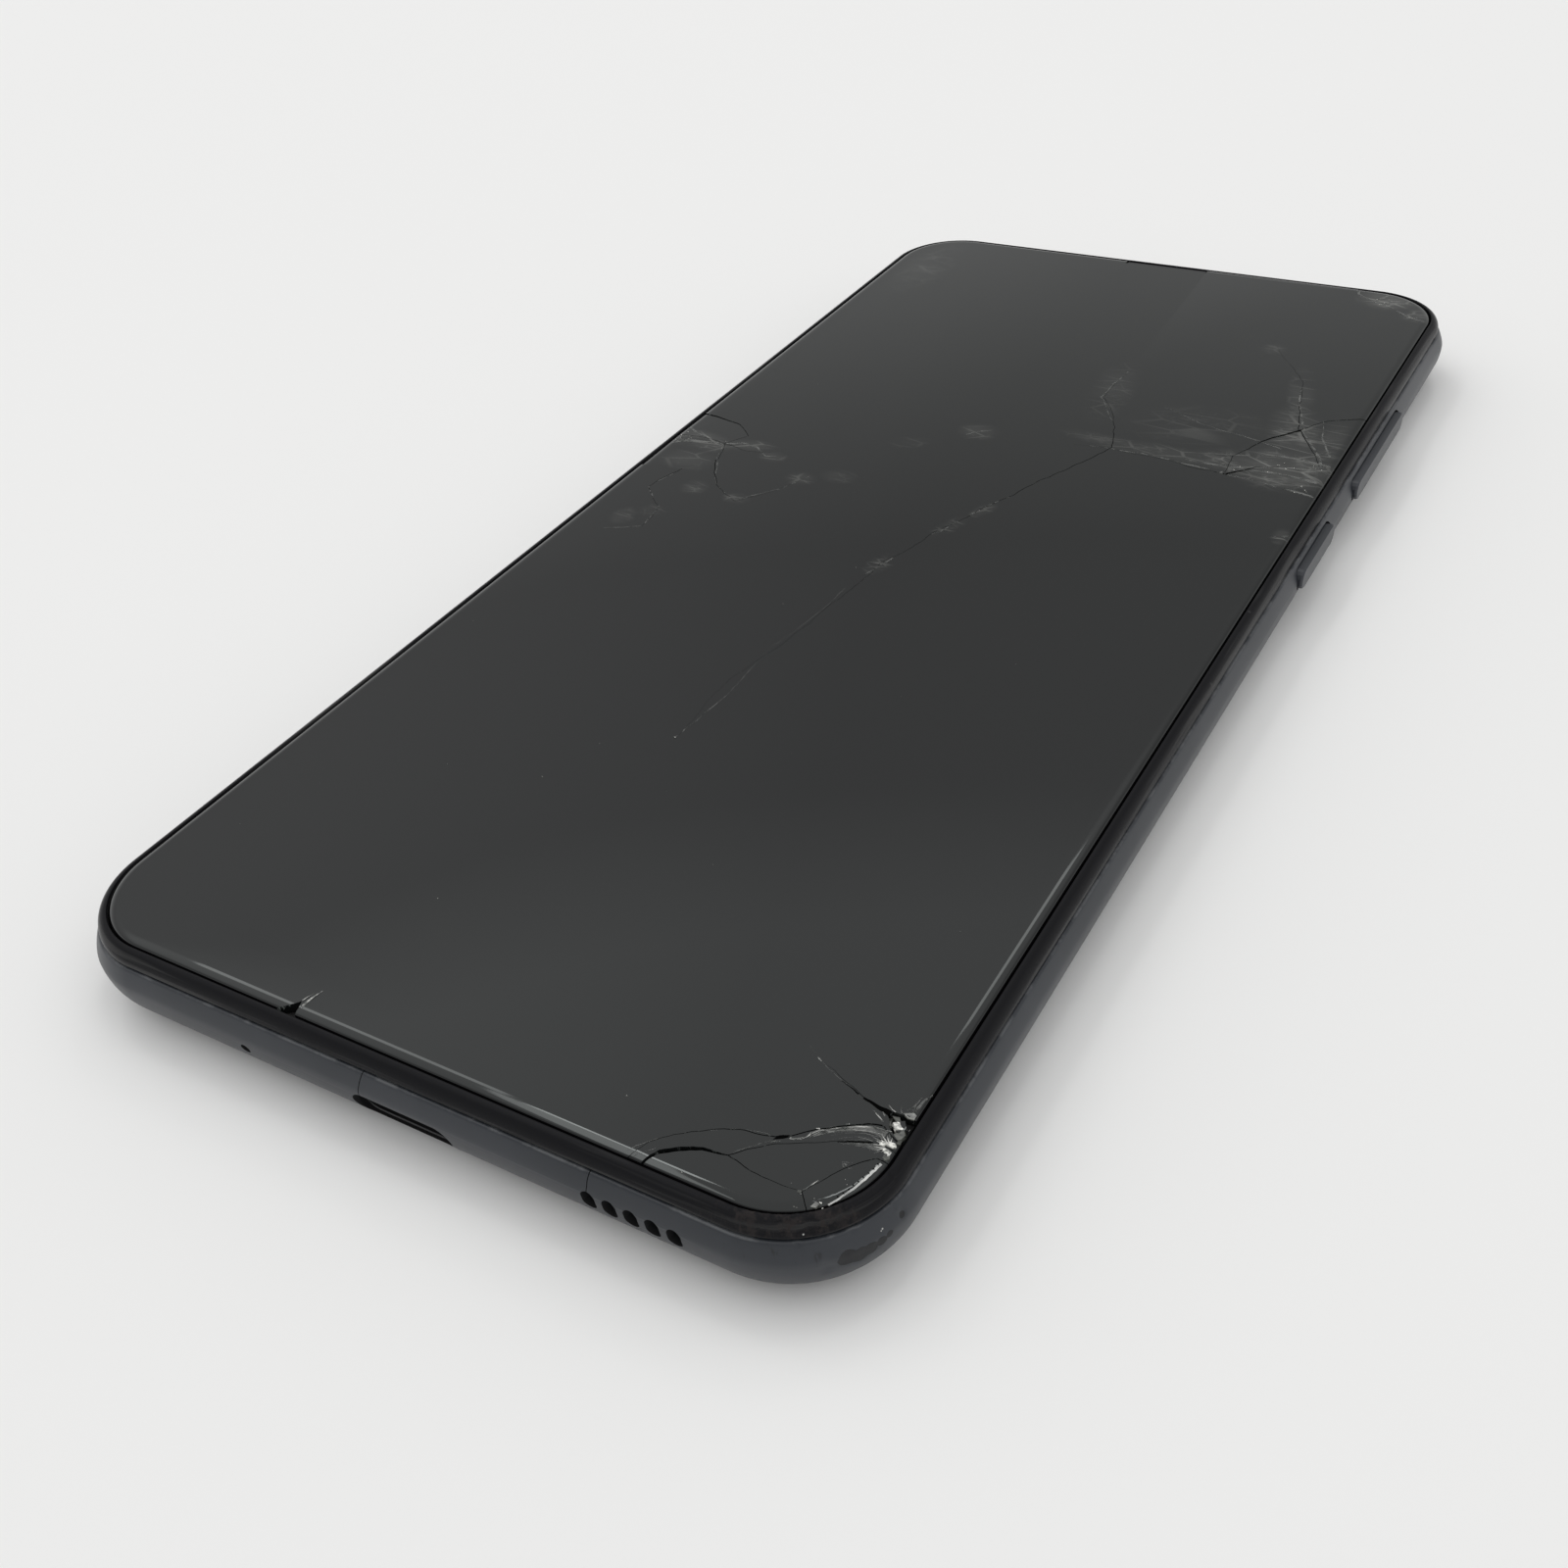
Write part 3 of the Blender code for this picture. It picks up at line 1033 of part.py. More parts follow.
def earpiece_cutters():
    """The notch in the glass's far edge, and the sound channel under it."""
    edge = HALF_Y - GLASS_INSET
    half = EARPIECE_LENGTH / 2
    notch_low = (-half, edge - EARPIECE_NOTCH, GLASS_BOTTOM - PAST)
    notch = box("earpiece_notch", notch_low, (half, edge + PAST, THICKNESS + PAST))
    channel_half = half - SEAT
    channel_top = HALF_Y - SKIRT_INNER
    channel = box(
        "sound_channel",
        (-channel_half, channel_top - EARPIECE_NOTCH, PLATE_BOTTOM - PAST),
        (channel_half, channel_top, GLASS_BOTTOM),
    )
    return notch, channel


def make_receiver(material, mesh_material):
    low = (-RECEIVER_HALF_WIDTH, RECEIVER_LOW_Y, CEILING - RECEIVER_THICK)
    box("receiver", low, (RECEIVER_HALF_WIDTH, RECEIVER_HIGH_Y, CEILING), material)
    edge = HALF_Y - GLASS_INSET
    half = EARPIECE_LENGTH / 2 - SLIDE
    base = GLASS_BOTTOM - TAPE_SEAT + SLIDE / 2
    inner = edge - EARPIECE_NOTCH + SEAT
    high = (half, inner + EARPIECE_MESH, base + EARPIECE_MESH_HEIGHT)
    box("receiver_mesh", (-half, inner, base), high, mesh_material)


def make_boards(board_material, shield_material, bracket_material, holes):
    end_y = HALF_Y - SKIRT_INNER - BOARD_MARGIN
    middle = (0, (BOARD_LOW_Y + end_y) / 2)
    outline = rounded(BOARD_HALF_WIDTH, (end_y - BOARD_LOW_Y) / 2, BOARD_RADIUS, middle, SLOT_STEPS)
    board = prism("main_board", outline, BOARD_BOTTOM, BOARD_TOP, board_material)
    half = MAIN_CAMERA_SIDE / 2 + SEAT
    bay_low = (CAMERA_X - half, WIDE_CAMERA_Y - half, 0)
    cut(board, box("camera_bay", bay_low, (CAMERA_X + half, MAIN_CAMERA_Y + half, THICKNESS)))
    bay_half = RECEIVER_HALF_WIDTH + SEAT
    bay_high = (bay_half, RECEIVER_HIGH_Y + PAST + SEAT, THICKNESS)
    cut(board, box("receiver_bay", (-bay_half, RECEIVER_LOW_Y - SEAT, 0), bay_high))
    cut(board, *holes)
    shield_top = BOARD_BOTTOM - SEAT
    half_length = (SHIELD_HIGH_Y - SHIELD_LOW_Y) / 2
    shields = (("processor_shield", PROCESSOR_SHIELD_X), ("radio_shield", RADIO_SHIELD_X))
    for name, (x0, x1) in shields:
        centre = ((x0 + x1) / 2, (SHIELD_LOW_Y + SHIELD_HIGH_Y) / 2)
        outline = rounded((x1 - x0) / 2, half_length, SHIELD_RADIUS, centre, VENT_STEPS)
        prism(name, outline, shield_top - SHIELD_HEIGHT, shield_top, shield_material)
    low = (*BRACKET_LOW, shield_top - BRACKET_THICK)
    bracket = box("antenna_bracket", low, (*BRACKET_HIGH, shield_top), bracket_material)
    cut(bracket, *holes[: len(BRACKET_SCREWS)])
    high = (*CHARGER_HIGH, BOARD_TOP)
    charger = box("charging_board", (*CHARGER_LOW, BOARD_BOTTOM), high, board_material)
    bay_half = USB_WIDTH / 2 + SEAT
    bay_end = -HALF_Y + USB_SET_BACK + USB_DEPTH + SEAT
    cut(charger, box("usb_notch", (-bay_half, -HALF_Y, 0), (bay_half, bay_end, THICKNESS)))
    cut(charger, *holes[-len(LOW_SCREWS) : -1])


def make_ribbons(material):
    half = MAIN_RIBBON_WIDTH / 2
    high = BOARD_BOTTOM - SEAT
    low = COVER_WALL + SEAT - RIBBON_THICK / 2
    near = BATTERY_LOW_Y - 2 * RIB
    far = BATTERY_HIGH_Y + 2 * RIB
    start, end = MAIN_RIBBON_ENDS
    under = high - SHIELD_HEIGHT - SEAT
    route = [(start, high), (near - RIB, high), (near, low), (far, low), (far + RIB, under), (end, under)]
    ribbon("main_flex", route, MAIN_RIBBON_X - half, MAIN_RIBBON_X + half, material)
    top = DISPLAY_BOTTOM - SEAT
    foot = BOARD_TOP + SEAT
    start = DISPLAY_RIBBON_Y - DISPLAY_RIBBON_RUN / 2
    bend = DISPLAY_RIBBON_Y
    end = DISPLAY_RIBBON_Y + DISPLAY_RIBBON_RUN * 2
    half = DISPLAY_RIBBON_WIDTH / 2
    route = [(start, top), (bend, top), (bend, foot), (end, foot)]
    ribbon("display_flex", route, DISPLAY_RIBBON_X - half, DISPLAY_RIBBON_X + half, material)


def ribbon_slot():
    half = DISPLAY_RIBBON_WIDTH / 2 + SEAT
    low = (DISPLAY_RIBBON_X - half, DISPLAY_RIBBON_Y - RIBBON_SLOT / 2, PLATE_BOTTOM - PAST)
    high = (DISPLAY_RIBBON_X + half, DISPLAY_RIBBON_Y + RIBBON_SLOT / 2, PLATE_TOP + SEAT)
    return box("ribbon_slot", low, high)


def make_screws(material):
    for index, (x, y, underside) in enumerate(screw_layout()):
        head_top = underside - SEAT
        sections = [
            (circle(SCREW_HEAD, (x, y)), head_top - SCREW_HEAD_THICK),
            (circle(SCREW_HEAD, (x, y)), head_top),
            (circle(SCREW_RADIUS, (x, y)), head_top),
            (circle(SCREW_RADIUS, (x, y)), PLATE_BOTTOM - SCREW_TIP),
        ]
        loft(f"screw_{index + 1}", sections, material)


def make_small_parts(battery_material, motor_material, chip_material):
    middle = (0, (BATTERY_LOW_Y + BATTERY_HIGH_Y) / 2)
    half_length = (BATTERY_HIGH_Y - BATTERY_LOW_Y) / 2
    outline = rounded(BATTERY_HALF_WIDTH, half_length, BATTERY_RADIUS, middle, VENT_STEPS)
    prism("battery", outline, CEILING - BATTERY_THICK, CEILING, battery_material)
    coin = circle(MOTOR_RADIUS, MOTOR_XY, BARREL_SIDES)
    prism("vibration_motor", coin, CEILING - MOTOR_THICK, CEILING, motor_material)
    across, deep, tall = MICROPHONE
    front = -HALF_Y + SKIRT_INNER + SEAT
    low = (MIC_X - across / 2, front, BOARD_TOP + SEAT)
    box("microphone", low, (MIC_X + across / 2, front + deep, low[2] + tall), chip_material)


def make_screen(panel_material, tape_material):
    panel_line = case_line(LEDGE_INSET + SEAT)
    panel = prism("display_panel", panel_line, DISPLAY_BOTTOM, DISPLAY_TOP, panel_material)
    cut(panel, front_camera_hole("panel_eye", DISPLAY_BOTTOM - PAST, DISPLAY_TOP + PAST))
    outer = GLASS_INSET + TAPE_MARGIN
    inner = outer + TAPE_WIDTH
    base = LEDGE_HEIGHT + TAPE_SEAT
    stations = [(outer, base), (inner, base), (inner, TAPE_TOP), (outer, TAPE_TOP)]
    case_stack("screen_tape", stations, tape_material, ring=True)


def main():
    clear_scene()
    blue_paint = finish("blue_paint", (0.035, 0.043, 0.058), 0.42)
    gloss_black = finish("gloss_black", (0.008, 0.008, 0.009), 0.12)
    clear_glass = finish("clear_glass", (0.02, 0.022, 0.022), 0.03)
    panel_black = finish("panel_black", (0.006, 0.006, 0.007), 0.3)
    foam_black = finish("foam_black", (0.02, 0.02, 0.02), 0.9)
    board_green = finish("board_green", (0.02, 0.09, 0.05), 0.5)
    steel = finish("steel", (0.55, 0.55, 0.57), 0.3, 1.0)
    dark_plastic = finish("dark_plastic", (0.03, 0.03, 0.032), 0.55)
    foil = finish("foil", (0.06, 0.06, 0.065), 0.35)
    amber_film = finish("amber_film", (0.32, 0.13, 0.03), 0.4)
    lens_glass = finish("lens_glass", (0.01, 0.01, 0.014), 0.05)
    frosted = finish("frosted", (0.75, 0.74, 0.66), 0.35)
    grille = finish("grille", (0.015, 0.015, 0.016), 0.7)

    ports = port_cutters()
    notch, channel = earpiece_cutters()
    screw_holes = [screw_hole(i + 1, x, y) for i, (x, y, _) in enumerate(screw_layout())]
    frame_eye = front_camera_hole("frame_eye", PLATE_BOTTOM - PAST, PLATE_TOP + PAST)

    cover = make_rear_cover(blue_paint, ports, rear_openings())
    frame = make_mid_frame(gloss_black, ports, [*screw_holes, frame_eye, channel, ribbon_slot()])
    chip_pieces({"rear_cover": cover, "mid_frame": frame})
    make_cover_glass(clear_glass, notch)
    make_shards(clear_glass)
    make_screen(panel_black, foam_black)
    make_keys(blue_paint)
    make_key_flex(amber_film)
    make_tray(blue_paint, steel)
    make_usb(steel, dark_plastic)
    speaker = make_speaker(dark_plastic, grille)
    cut(speaker, screw_holes[-1])
    make_camera("main_camera", MAIN_CAMERA_Y, MAIN_CAMERA_SIDE, dark_plastic)
    make_camera("wide_camera", WIDE_CAMERA_Y, WIDE_CAMERA_SIDE, dark_plastic)
    make_rear_window(lens_glass, steel, frosted)
    make_front_camera(dark_plastic)
    make_receiver(dark_plastic, grille)
    make_boards(board_green, steel, dark_plastic, screw_holes)
    make_small_parts(foil, steel, steel)
    make_ribbons(amber_film)
    make_screws(steel)


main()
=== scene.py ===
import math
import random

import bmesh
import bpy
from mathutils import Euler, Matrix, Vector, noise
from mathutils.bvhtree import BVHTree


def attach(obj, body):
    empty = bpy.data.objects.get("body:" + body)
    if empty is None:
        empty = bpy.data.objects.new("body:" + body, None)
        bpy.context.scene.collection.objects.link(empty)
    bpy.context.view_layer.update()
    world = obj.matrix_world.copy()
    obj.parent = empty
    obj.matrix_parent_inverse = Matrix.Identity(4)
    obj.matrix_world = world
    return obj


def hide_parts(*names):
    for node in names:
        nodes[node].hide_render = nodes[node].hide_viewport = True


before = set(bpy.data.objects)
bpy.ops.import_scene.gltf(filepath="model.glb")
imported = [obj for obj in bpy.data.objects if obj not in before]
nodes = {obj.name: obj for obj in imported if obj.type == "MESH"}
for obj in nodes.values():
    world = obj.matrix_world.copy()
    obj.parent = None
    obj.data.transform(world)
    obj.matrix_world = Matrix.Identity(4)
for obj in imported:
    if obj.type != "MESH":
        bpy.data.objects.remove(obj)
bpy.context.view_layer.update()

mm = 0.001
print("frame loaded:", len(nodes), "nodes")


# Shader maths

class Wire:  # one socket, so that maths on it reads as maths
    def __init__(self, graph, socket):
        self.graph = graph
        self.socket = socket

    def maths(self, operation, *values):
        return self.graph.add("ShaderNodeMath", {"operation": operation}, dict(enumerate(values)))

    def __add__(self, other):
        return self.maths("ADD", self, other)

    def __radd__(self, other):
        return self.maths("ADD", other, self)

    def __sub__(self, other):
        return self.maths("SUBTRACT", self, other)

    def __rsub__(self, other):
        return self.maths("SUBTRACT", other, self)

    def __mul__(self, other):
        return self.maths("MULTIPLY", self, other)

    def __rmul__(self, other):
        return self.maths("MULTIPLY", other, self)

    def top(self, other):
        return self.maths("MAXIMUM", self, other)

    def low(self, other):
        return self.maths("MINIMUM", self, other)

    def ramp(self, start, end):  # 0 at start, 1 at end, eased
        return self.graph.add("ShaderNodeMapRange", {"interpolation_type": "SMOOTHSTEP"},
                              {"Value": self, "From Min": start, "From Max": end})


class Graph:  # a node tree and what adds to it
    def __init__(self, tree):
        self.tree = tree
        tree.nodes.clear()

    def add(self, kind, settings=None, inputs=None, output=0):
        node = self.tree.nodes.new(kind)
        for key, value in (settings or {}).items():
            setattr(node, key, value)
        for key, value in (inputs or {}).items():
            socket = node.inputs[key]
            if isinstance(value, Wire):
                self.tree.links.new(value.socket, socket)
            elif isinstance(value, tuple) and socket.type == "RGBA":
                socket.default_value = (*value, 1)
            else:
                socket.default_value = value
        return Wire(self, node.outputs[output]) if node.outputs else None

    def mixed(self, share, first, second):
        return self.add("ShaderNodeMix", {"data_type": "RGBA"}, {0: share, 6: first, 7: second}, 2)

    def levels(self, value, stops):  # a grey that follows stops of (value, level)
        grey = self.add("ShaderNodeValToRGB", {}, {"Fac": value})
        ramp = grey.socket.node.color_ramp
        for _ in stops[2:]:
            ramp.elements.new(0.5)
        for stop, (place, level) in zip(ramp.elements, stops):
            stop.position = place
            stop.color = (level, level, level, 1)
        return grey


class Finish(Graph):  # a material
    def __init__(self, name):
        self.material = bpy.data.materials.new(name)
        self.material.use_nodes = True
        super().__init__(self.material.node_tree)
        self.spot = self.add("ShaderNodeTexCoord", output=3)

    def noise(self, scale, detail=3, rough=0.5, where=None):
        inputs = {"Vector": where or self.spot, "Scale": scale, "Detail": detail, "Roughness": rough}
        return self.add("ShaderNodeTexNoise", {}, inputs)

    def cells(self, scale, feature="DISTANCE_TO_EDGE", where=None, loose=1.0):
        inputs = {"Vector": where or self.spot, "Scale": scale, "Randomness": loose}
        return self.add("ShaderNodeTexVoronoi", {"feature": feature}, inputs)

    def axis(self, name):
        return self.add("ShaderNodeSeparateXYZ", {}, {0: self.spot}, "XYZ".index(name))

    def stretched(self, x, y, z, turn=0):
        inputs = {"Vector": self.spot, "Rotation": (0, 0, math.radians(turn)), "Scale": (x, y, z)}
        return self.add("ShaderNodeMapping", {}, inputs)

    def near(self, place, reach, edge=0.5):  # 1 within reach of a place in millimetres, fading past it
        centre = tuple(v * mm for v in place)
        apart = self.add("ShaderNodeVectorMath", {"operation": "DISTANCE"}, {0: self.spot, 1: centre}, 1)
        return apart.ramp(reach * (1 + edge) * mm, reach * (1 - edge) * mm)

    def patch(self, x, y, across, along, turn=0):  # 1 inside an ellipse on the glass, fading outwards
        settings = {"vector_type": "TEXTURE"}
        inputs = {"Vector": self.spot, "Location": (x * mm, y * mm, phone["top"] * mm),
                  "Rotation": (0, 0, math.radians(turn)), "Scale": (across * mm, along * mm, 0.1)}
        local = self.add("ShaderNodeMapping", settings, inputs)
        return self.add("ShaderNodeVectorMath", {"operation": "LENGTH"}, {0: local}, 1).ramp(1.3, 0.3)

    def bump(self, height, strength, distance, under=None):
        inputs = {"Height": height, "Strength": strength, "Distance": distance * mm}
        if under:
            inputs["Normal"] = under
        return self.add("ShaderNodeBump", {}, inputs)

    def done(self, **sockets):  # a Principled shader as the surface, socket names written without spaces
        names = ("Base Color", "Roughness", "Metallic", "IOR", "Normal", "Alpha", "Coat Weight",
                 "Specular IOR Level", "Specular Tint")
        spaced = {name.replace(" ", ""): name for name in names}
        shader = self.add("ShaderNodeBsdfPrincipled", {},
                          {spaced[key]: value for key, value in sockets.items()})
        self.add("ShaderNodeOutputMaterial", {}, {"Surface": shader})
        return self.material


# Shapes, in millimetres from the middle of the phone

phone = {"halfX": 37.0, "halfY": 79.8, "corner": 9.6, "top": 8.3}
cornerX, cornerY = phone["halfX"] - phone["corner"], -(phone["halfY"] - phone["corner"])


def rounded(halfX, halfY, radius, middle=(0, 0), steps=8):
    points = []
    for sideX, sideY, start in ((1, -1, -90), (1, 1, 0), (-1, 1, 90), (-1, -1, 180)):
        for step in range(steps + 1):
            angle = math.radians(start + 90 * step / steps)
            points.append((middle[0] + sideX * (halfX - radius) + radius * math.cos(angle),
                           middle[1] + sideY * (halfY - radius) + radius * math.sin(angle)))
    return points


def slotLine(length, height, middle):
    return rounded(length / 2, height / 2, min(length, height) / 2 * 0.999, middle, 10)


def caseLine(inset, steps):
    return rounded(phone["halfX"] - inset, phone["halfY"] - inset, phone["corner"] - inset, steps=steps)


def quarter(centre, reach, rise, steps):
    turns = [math.radians(90 * step / steps) for step in range(steps + 1)]
    return [(centre[0] - reach * math.sin(turn), centre[1] - rise * math.cos(turn)) for turn in turns]


def shown(name, bm, materials, smooth=32):
    mesh = bpy.data.meshes.new(name)
    bm.to_mesh(mesh)
    bm.free()
    for material in materials:
        mesh.materials.append(material)
    mesh.shade_smooth()
    mesh.set_sharp_from_angle(angle=math.radians(smooth))
    piece = bpy.data.objects.new(name, mesh)
    bpy.context.scene.collection.objects.link(piece)
    return piece


# joins outlines, each (points, depth along axis)
def skin(name, sections, materials=(), ring=False, axis="z"):
    spots = {"z": lambda a, b, d: (a, b, d), "x": lambda a, b, d: (d, a, b), "y": lambda a, b, d: (a, d, b)}
    bm = bmesh.new()
    rings = [[bm.verts.new(Vector(spots[axis](a, b, depth)) * mm) for a, b in points]
             for points, depth in sections]
    pairs = list(zip(rings, rings[1:])) + ([(rings[-1], rings[0])] if ring else [])
    if not ring:
        bm.faces.new(rings[0])
        bm.faces.new(rings[-1])
    for first, second in pairs:
        for i in range(len(first)):
            j = (i + 1) % len(first)
            bm.faces.new((first[i], first[j], second[j], second[i]))
    bmesh.ops.recalc_face_normals(bm, faces=bm.faces)
    return shown(name, bm, materials)


def caseSkin(name, stations, materials, steps, ring=False):
    return skin(name, [(caseLine(inset, steps), height) for inset, height in stations], materials, ring)


def carve(piece, tools, operation="DIFFERENCE"):  # cuts with the tools, whose finish the cut faces take
    for tool in tools:
        cut = piece.modifiers.new(tool.name, "BOOLEAN")
        cut.operation = operation
        cut.solver = "EXACT"
        cut.material_mode = "TRANSFER"
        cut.object = tool
    view = bpy.context.evaluated_depsgraph_get()
    made = bpy.data.meshes.new_from_object(piece.evaluated_get(view))
    made.set_sharp_from_angle(angle=math.radians(32))
    old = piece.data
    piece.modifiers.clear()
    piece.data = made
    bpy.data.meshes.remove(old)
    for tool in tools:
        bpy.data.objects.remove(tool, do_unlink=True)
    return piece


def seated(piece, body, slot, *replaced):
    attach(piece, body)
    if replaced:
        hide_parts(*replaced)
    return piece


def eased(value, start, end):
    share = min(max((value - start) / (end - start), 0), 1)
    return share * share * (3 - 2 * share)


def aroundCorner(place):  # bearing in degrees and distance from the middle of the fallen corner's arc
    away = Vector((place.x - cornerX, place.y - cornerY))
    return math.degrees(math.atan2(away.y, away.x)), away.length


# presses rough hollows into the fallen corner: bearing, height, distance, radius, depth
def dent(piece, hollows, drop=0.0):
    for bearing, height, reach, radius, depth in hollows:
        turn = math.radians(bearing)
        centre = Vector((cornerX + reach * math.cos(turn), cornerY + reach * math.sin(turn), height))
        inward = Vector((-math.cos(turn), -math.sin(turn), -drop)).normalized()
        for vert in piece.data.vertices:
            place = vert.co / mm
            uneven = 1 + 0.35 * noise.noise(place * 2.3)
            apart = (place - centre).length / (radius * uneven)
            if apart < 1:
                rough = 0.75 + 0.5 * noise.noise(place * 4.1)
                vert.co += inward * depth * rough * eased(apart, 1, 0.45) * mm


# halves each run again and again, its middle pushed aside a little
def crooked(line, share, seed, finest=0.55):
    dice = random.Random(seed)

    def halved(a, b):
        run = b - a
        if run.length < finest:
            return [a]
        middle = (a + b) / 2 + Vector((-run.y, run.x)) * dice.uniform(-share, share)
        return halved(a, middle) + halved(middle, b)

    points = [Vector(point) for point in line]
    out = []
    for a, b in zip(points, points[1:]):
        out += halved(a, b)
    return [(p.x, p.y) for p in out + points[-1:]]


def drawnIn(points, amount):  # a closed outline moved inwards
    area = sum(a[0] * b[1] - b[0] * a[1] for a, b in zip(points, points[1:] + points[:1]))
    points = points if area > 0 else points[::-1]
    moved = []
    for before, here, after in zip(points[-1:] + points[:-1], points, points[1:] + points[:1]):
        into = (Vector(here) - Vector(before)).normalized()
        out = (Vector(after) - Vector(here)).normalized()
        first = Vector((-into.y, into.x))
        middle = (first + Vector((-out.y, out.x))).normalized()
        reach = amount / max(middle.dot(first), 0.5)
        moved.append((here[0] + middle.x * reach, here[1] + middle.y * reach))
    return moved


def bandSides(line, widths):  # both sides of a band along a line, its widths spread evenly over it
    left, right = [], []
    for i, point in enumerate(line):
        along = (Vector(line[min(i + 1, len(line) - 1)]) - Vector(line[max(i - 1, 0)])).normalized()
        place = i / (len(line) - 1) * (len(widths) - 1)
        low = int(min(place, len(widths) - 2))
        half = (widths[low] + (widths[low + 1] - widths[low]) * (place - low)) / 2
        left.append((point[0] - along.y * half, point[1] + along.x * half))
        right.append((point[0] + along.y * half, point[1] - along.x * half))
    return left, right


# Finishes

crushedZones = (  # x, y, half width, half length, turn in degrees, strength
    (30.5, 29.0, 5.4, 4.6, 0, 0.95), (25.5, 28.4, 5.0, 2.6, 0, 0.75), (19.5, 27.8, 6.0, 1.6, -4, 0.48),
    (12.0, 28.0, 6.0, 1.3, -6, 0.34), (29.5, 36.0, 3.0, 7.0, 18, 0.62), (27.0, 46.5, 1.5, 6.5, 14, 0.42),
    (7.0, 40.0, 2.4, 7.5, 8, 0.24), (19.0, 35.0, 7.0, 4.5, 12, 0.24), (33.0, 35.0, 1.8, 7.0, 0, 0.5),
    (-31.6, 11.8, 3.8, 2.0, -8, 1.0), (-25.6, 12.8, 3.0, 1.2, 12, 0.7), (-21.8, 11.4, 1.6, 1.1, 0, 0.5),
    (-30.5, 7.5, 3.4, 2.4, 0, 0.36), (-20.6, 1.6, 1.5, 1.0, 0, 0.4), (-26.2, 2.0, 1.5, 1.4, 0, 0.35),
    (-16.2, 8.0, 1.6, 1.3, 0, 0.4), (-12.6, 10.0, 2.0, 1.4, 0, 0.25), (-30.0, -6.2, 1.4, 1.7, 0, 0.35),
    (-27.6, -4.2, 1.5, 1.2, 0, 0.35), (3.2, 4.6, 1.0, 2.4, -20, 0.5), (5.0, 9.0, 0.9, 1.7, -20, 0.35),
    (0.0, -4.6, 1.2, 2.0, -12, 0.5), (-3.0, 25.0, 2.2, 1.8, 0, 0.4), (-9.0, 20.0, 2.2, 1.2, 20, 0.2),
    (-30.0, 67.0, 3.4, 8.0, 0, 0.24), (29.0, 75.2, 3.2, 2.6, 0, 1.0), (33.4, 71.6, 1.7, 2.0, 0, 0.7),
    (20.5, 57.0, 1.4, 1.4, 0, 0.25), (34.2, 15.2, 0.9, 1.4, 0, 0.8),
)


def polishedGlass():  # black print behind polished glass, crushed white where blows fell
    look = {"ink": (0.0032, 0.0040, 0.0038), "inkWarm": (0.0046, 0.0040, 0.0048),
            "powder": (0.34, 0.34, 0.32), "roughness": 0.035, "crush": 0.72}
    f = Finish("polishedGlass")
    smear = f.noise(38, 2, 0.5)
    ink = f.mixed(f.axis("Y").ramp(-0.05, 0.06), look["inkWarm"], look["ink"])
    crushed = None
    for *shape, strength in crushedZones:
        part = f.patch(*shape) * (strength * look["crush"])
        crushed = part if crushed is None else crushed.top(part)
    fan = f.stretched(0.35, 1.0, 1.0, 8)
    web = f.cells(430, where=fan).ramp(0.045, 0.010) * 0.5
    fineWeb = f.cells(1500, where=fan).ramp(0.10, 0.02) * 0.35
    streaks = f.noise(900, 4, 0.62, f.stretched(0.22, 1.0, 1.0, 10)).ramp(0.48, 0.72)
    patches = f.noise(260, 3, 0.6).ramp(0.42, 0.66)
    haze = f.noise(150, 4, 0.6, fan).ramp(0.30, 0.66) * 0.22
    mask = (crushed * (web.top(fineWeb * patches) + streaks * patches * 0.4 + haze)).low(1.0)
    colour = f.mixed(mask * 0.8, ink, look["powder"])
    rough = look["roughness"] + smear.ramp(0.45, 0.75) * 0.02 + mask * 0.35
    bumps = f.bump(f.cells(700, "F1", fan) * crushed, 0.3, 0.04)
    return f.done(BaseColor=colour, Roughness=rough, IOR=1.5, SpecularTint=(0.94, 1.0, 0.98), Normal=bumps)


def brokenFace():  # the fracture faces through the glass
    f = Finish("brokenFace")
    ridges = f.noise(2600, 3, 0.6, f.stretched(1, 1, 0.3))
    colour = f.mixed(ridges.ramp(0.56, 0.72), (0.008, 0.009, 0.009), (0.20, 0.22, 0.21))
    return f.done(BaseColor=colour, Roughness=0.16, IOR=1.5, Normal=f.bump(ridges, 0.5, 0.03))


# light caught in a crack under the surface, broken along its run
def crackLight(name, dim, bright, strength):
    f = Finish(name)
    along = f.noise(1100, 3, 0.6, f.stretched(0.4, 1, 1, 30))
    colour = f.mixed(along.ramp(0.34, 0.64), dim, bright)
    share = along.ramp(0.26, 0.56) * 0.75 + 0.25
    return f.done(BaseColor=colour, Roughness=0.2, IOR=1.5, Alpha=share * strength)


def crushedGlass():
    f = Finish("crushedGlass")
    grain = f.cells(5200, "F1")
    tone = f.noise(2300, 3, 0.6)
    colour = f.mixed(tone.ramp(0.38, 0.62), (0.09, 0.095, 0.085), (0.85, 0.85, 0.79))
    return f.done(BaseColor=colour, Roughness=0.16, IOR=1.5, CoatWeight=0.6, Normal=f.bump(grain, 0.5, 0.03))


def edgeShine():  # the steady gleam along a worn glass edge
    f = Finish("edgeShine")
    along = f.noise(700, 3, 0.5)
    colour = f.mixed(along.ramp(0.3, 0.7), (0.36, 0.37, 0.36), (0.82, 0.82, 0.79))
    return f.done(BaseColor=colour, Roughness=0.25, IOR=1.5, Alpha=along.ramp(0.2, 0.45) * 0.3 + 0.6)


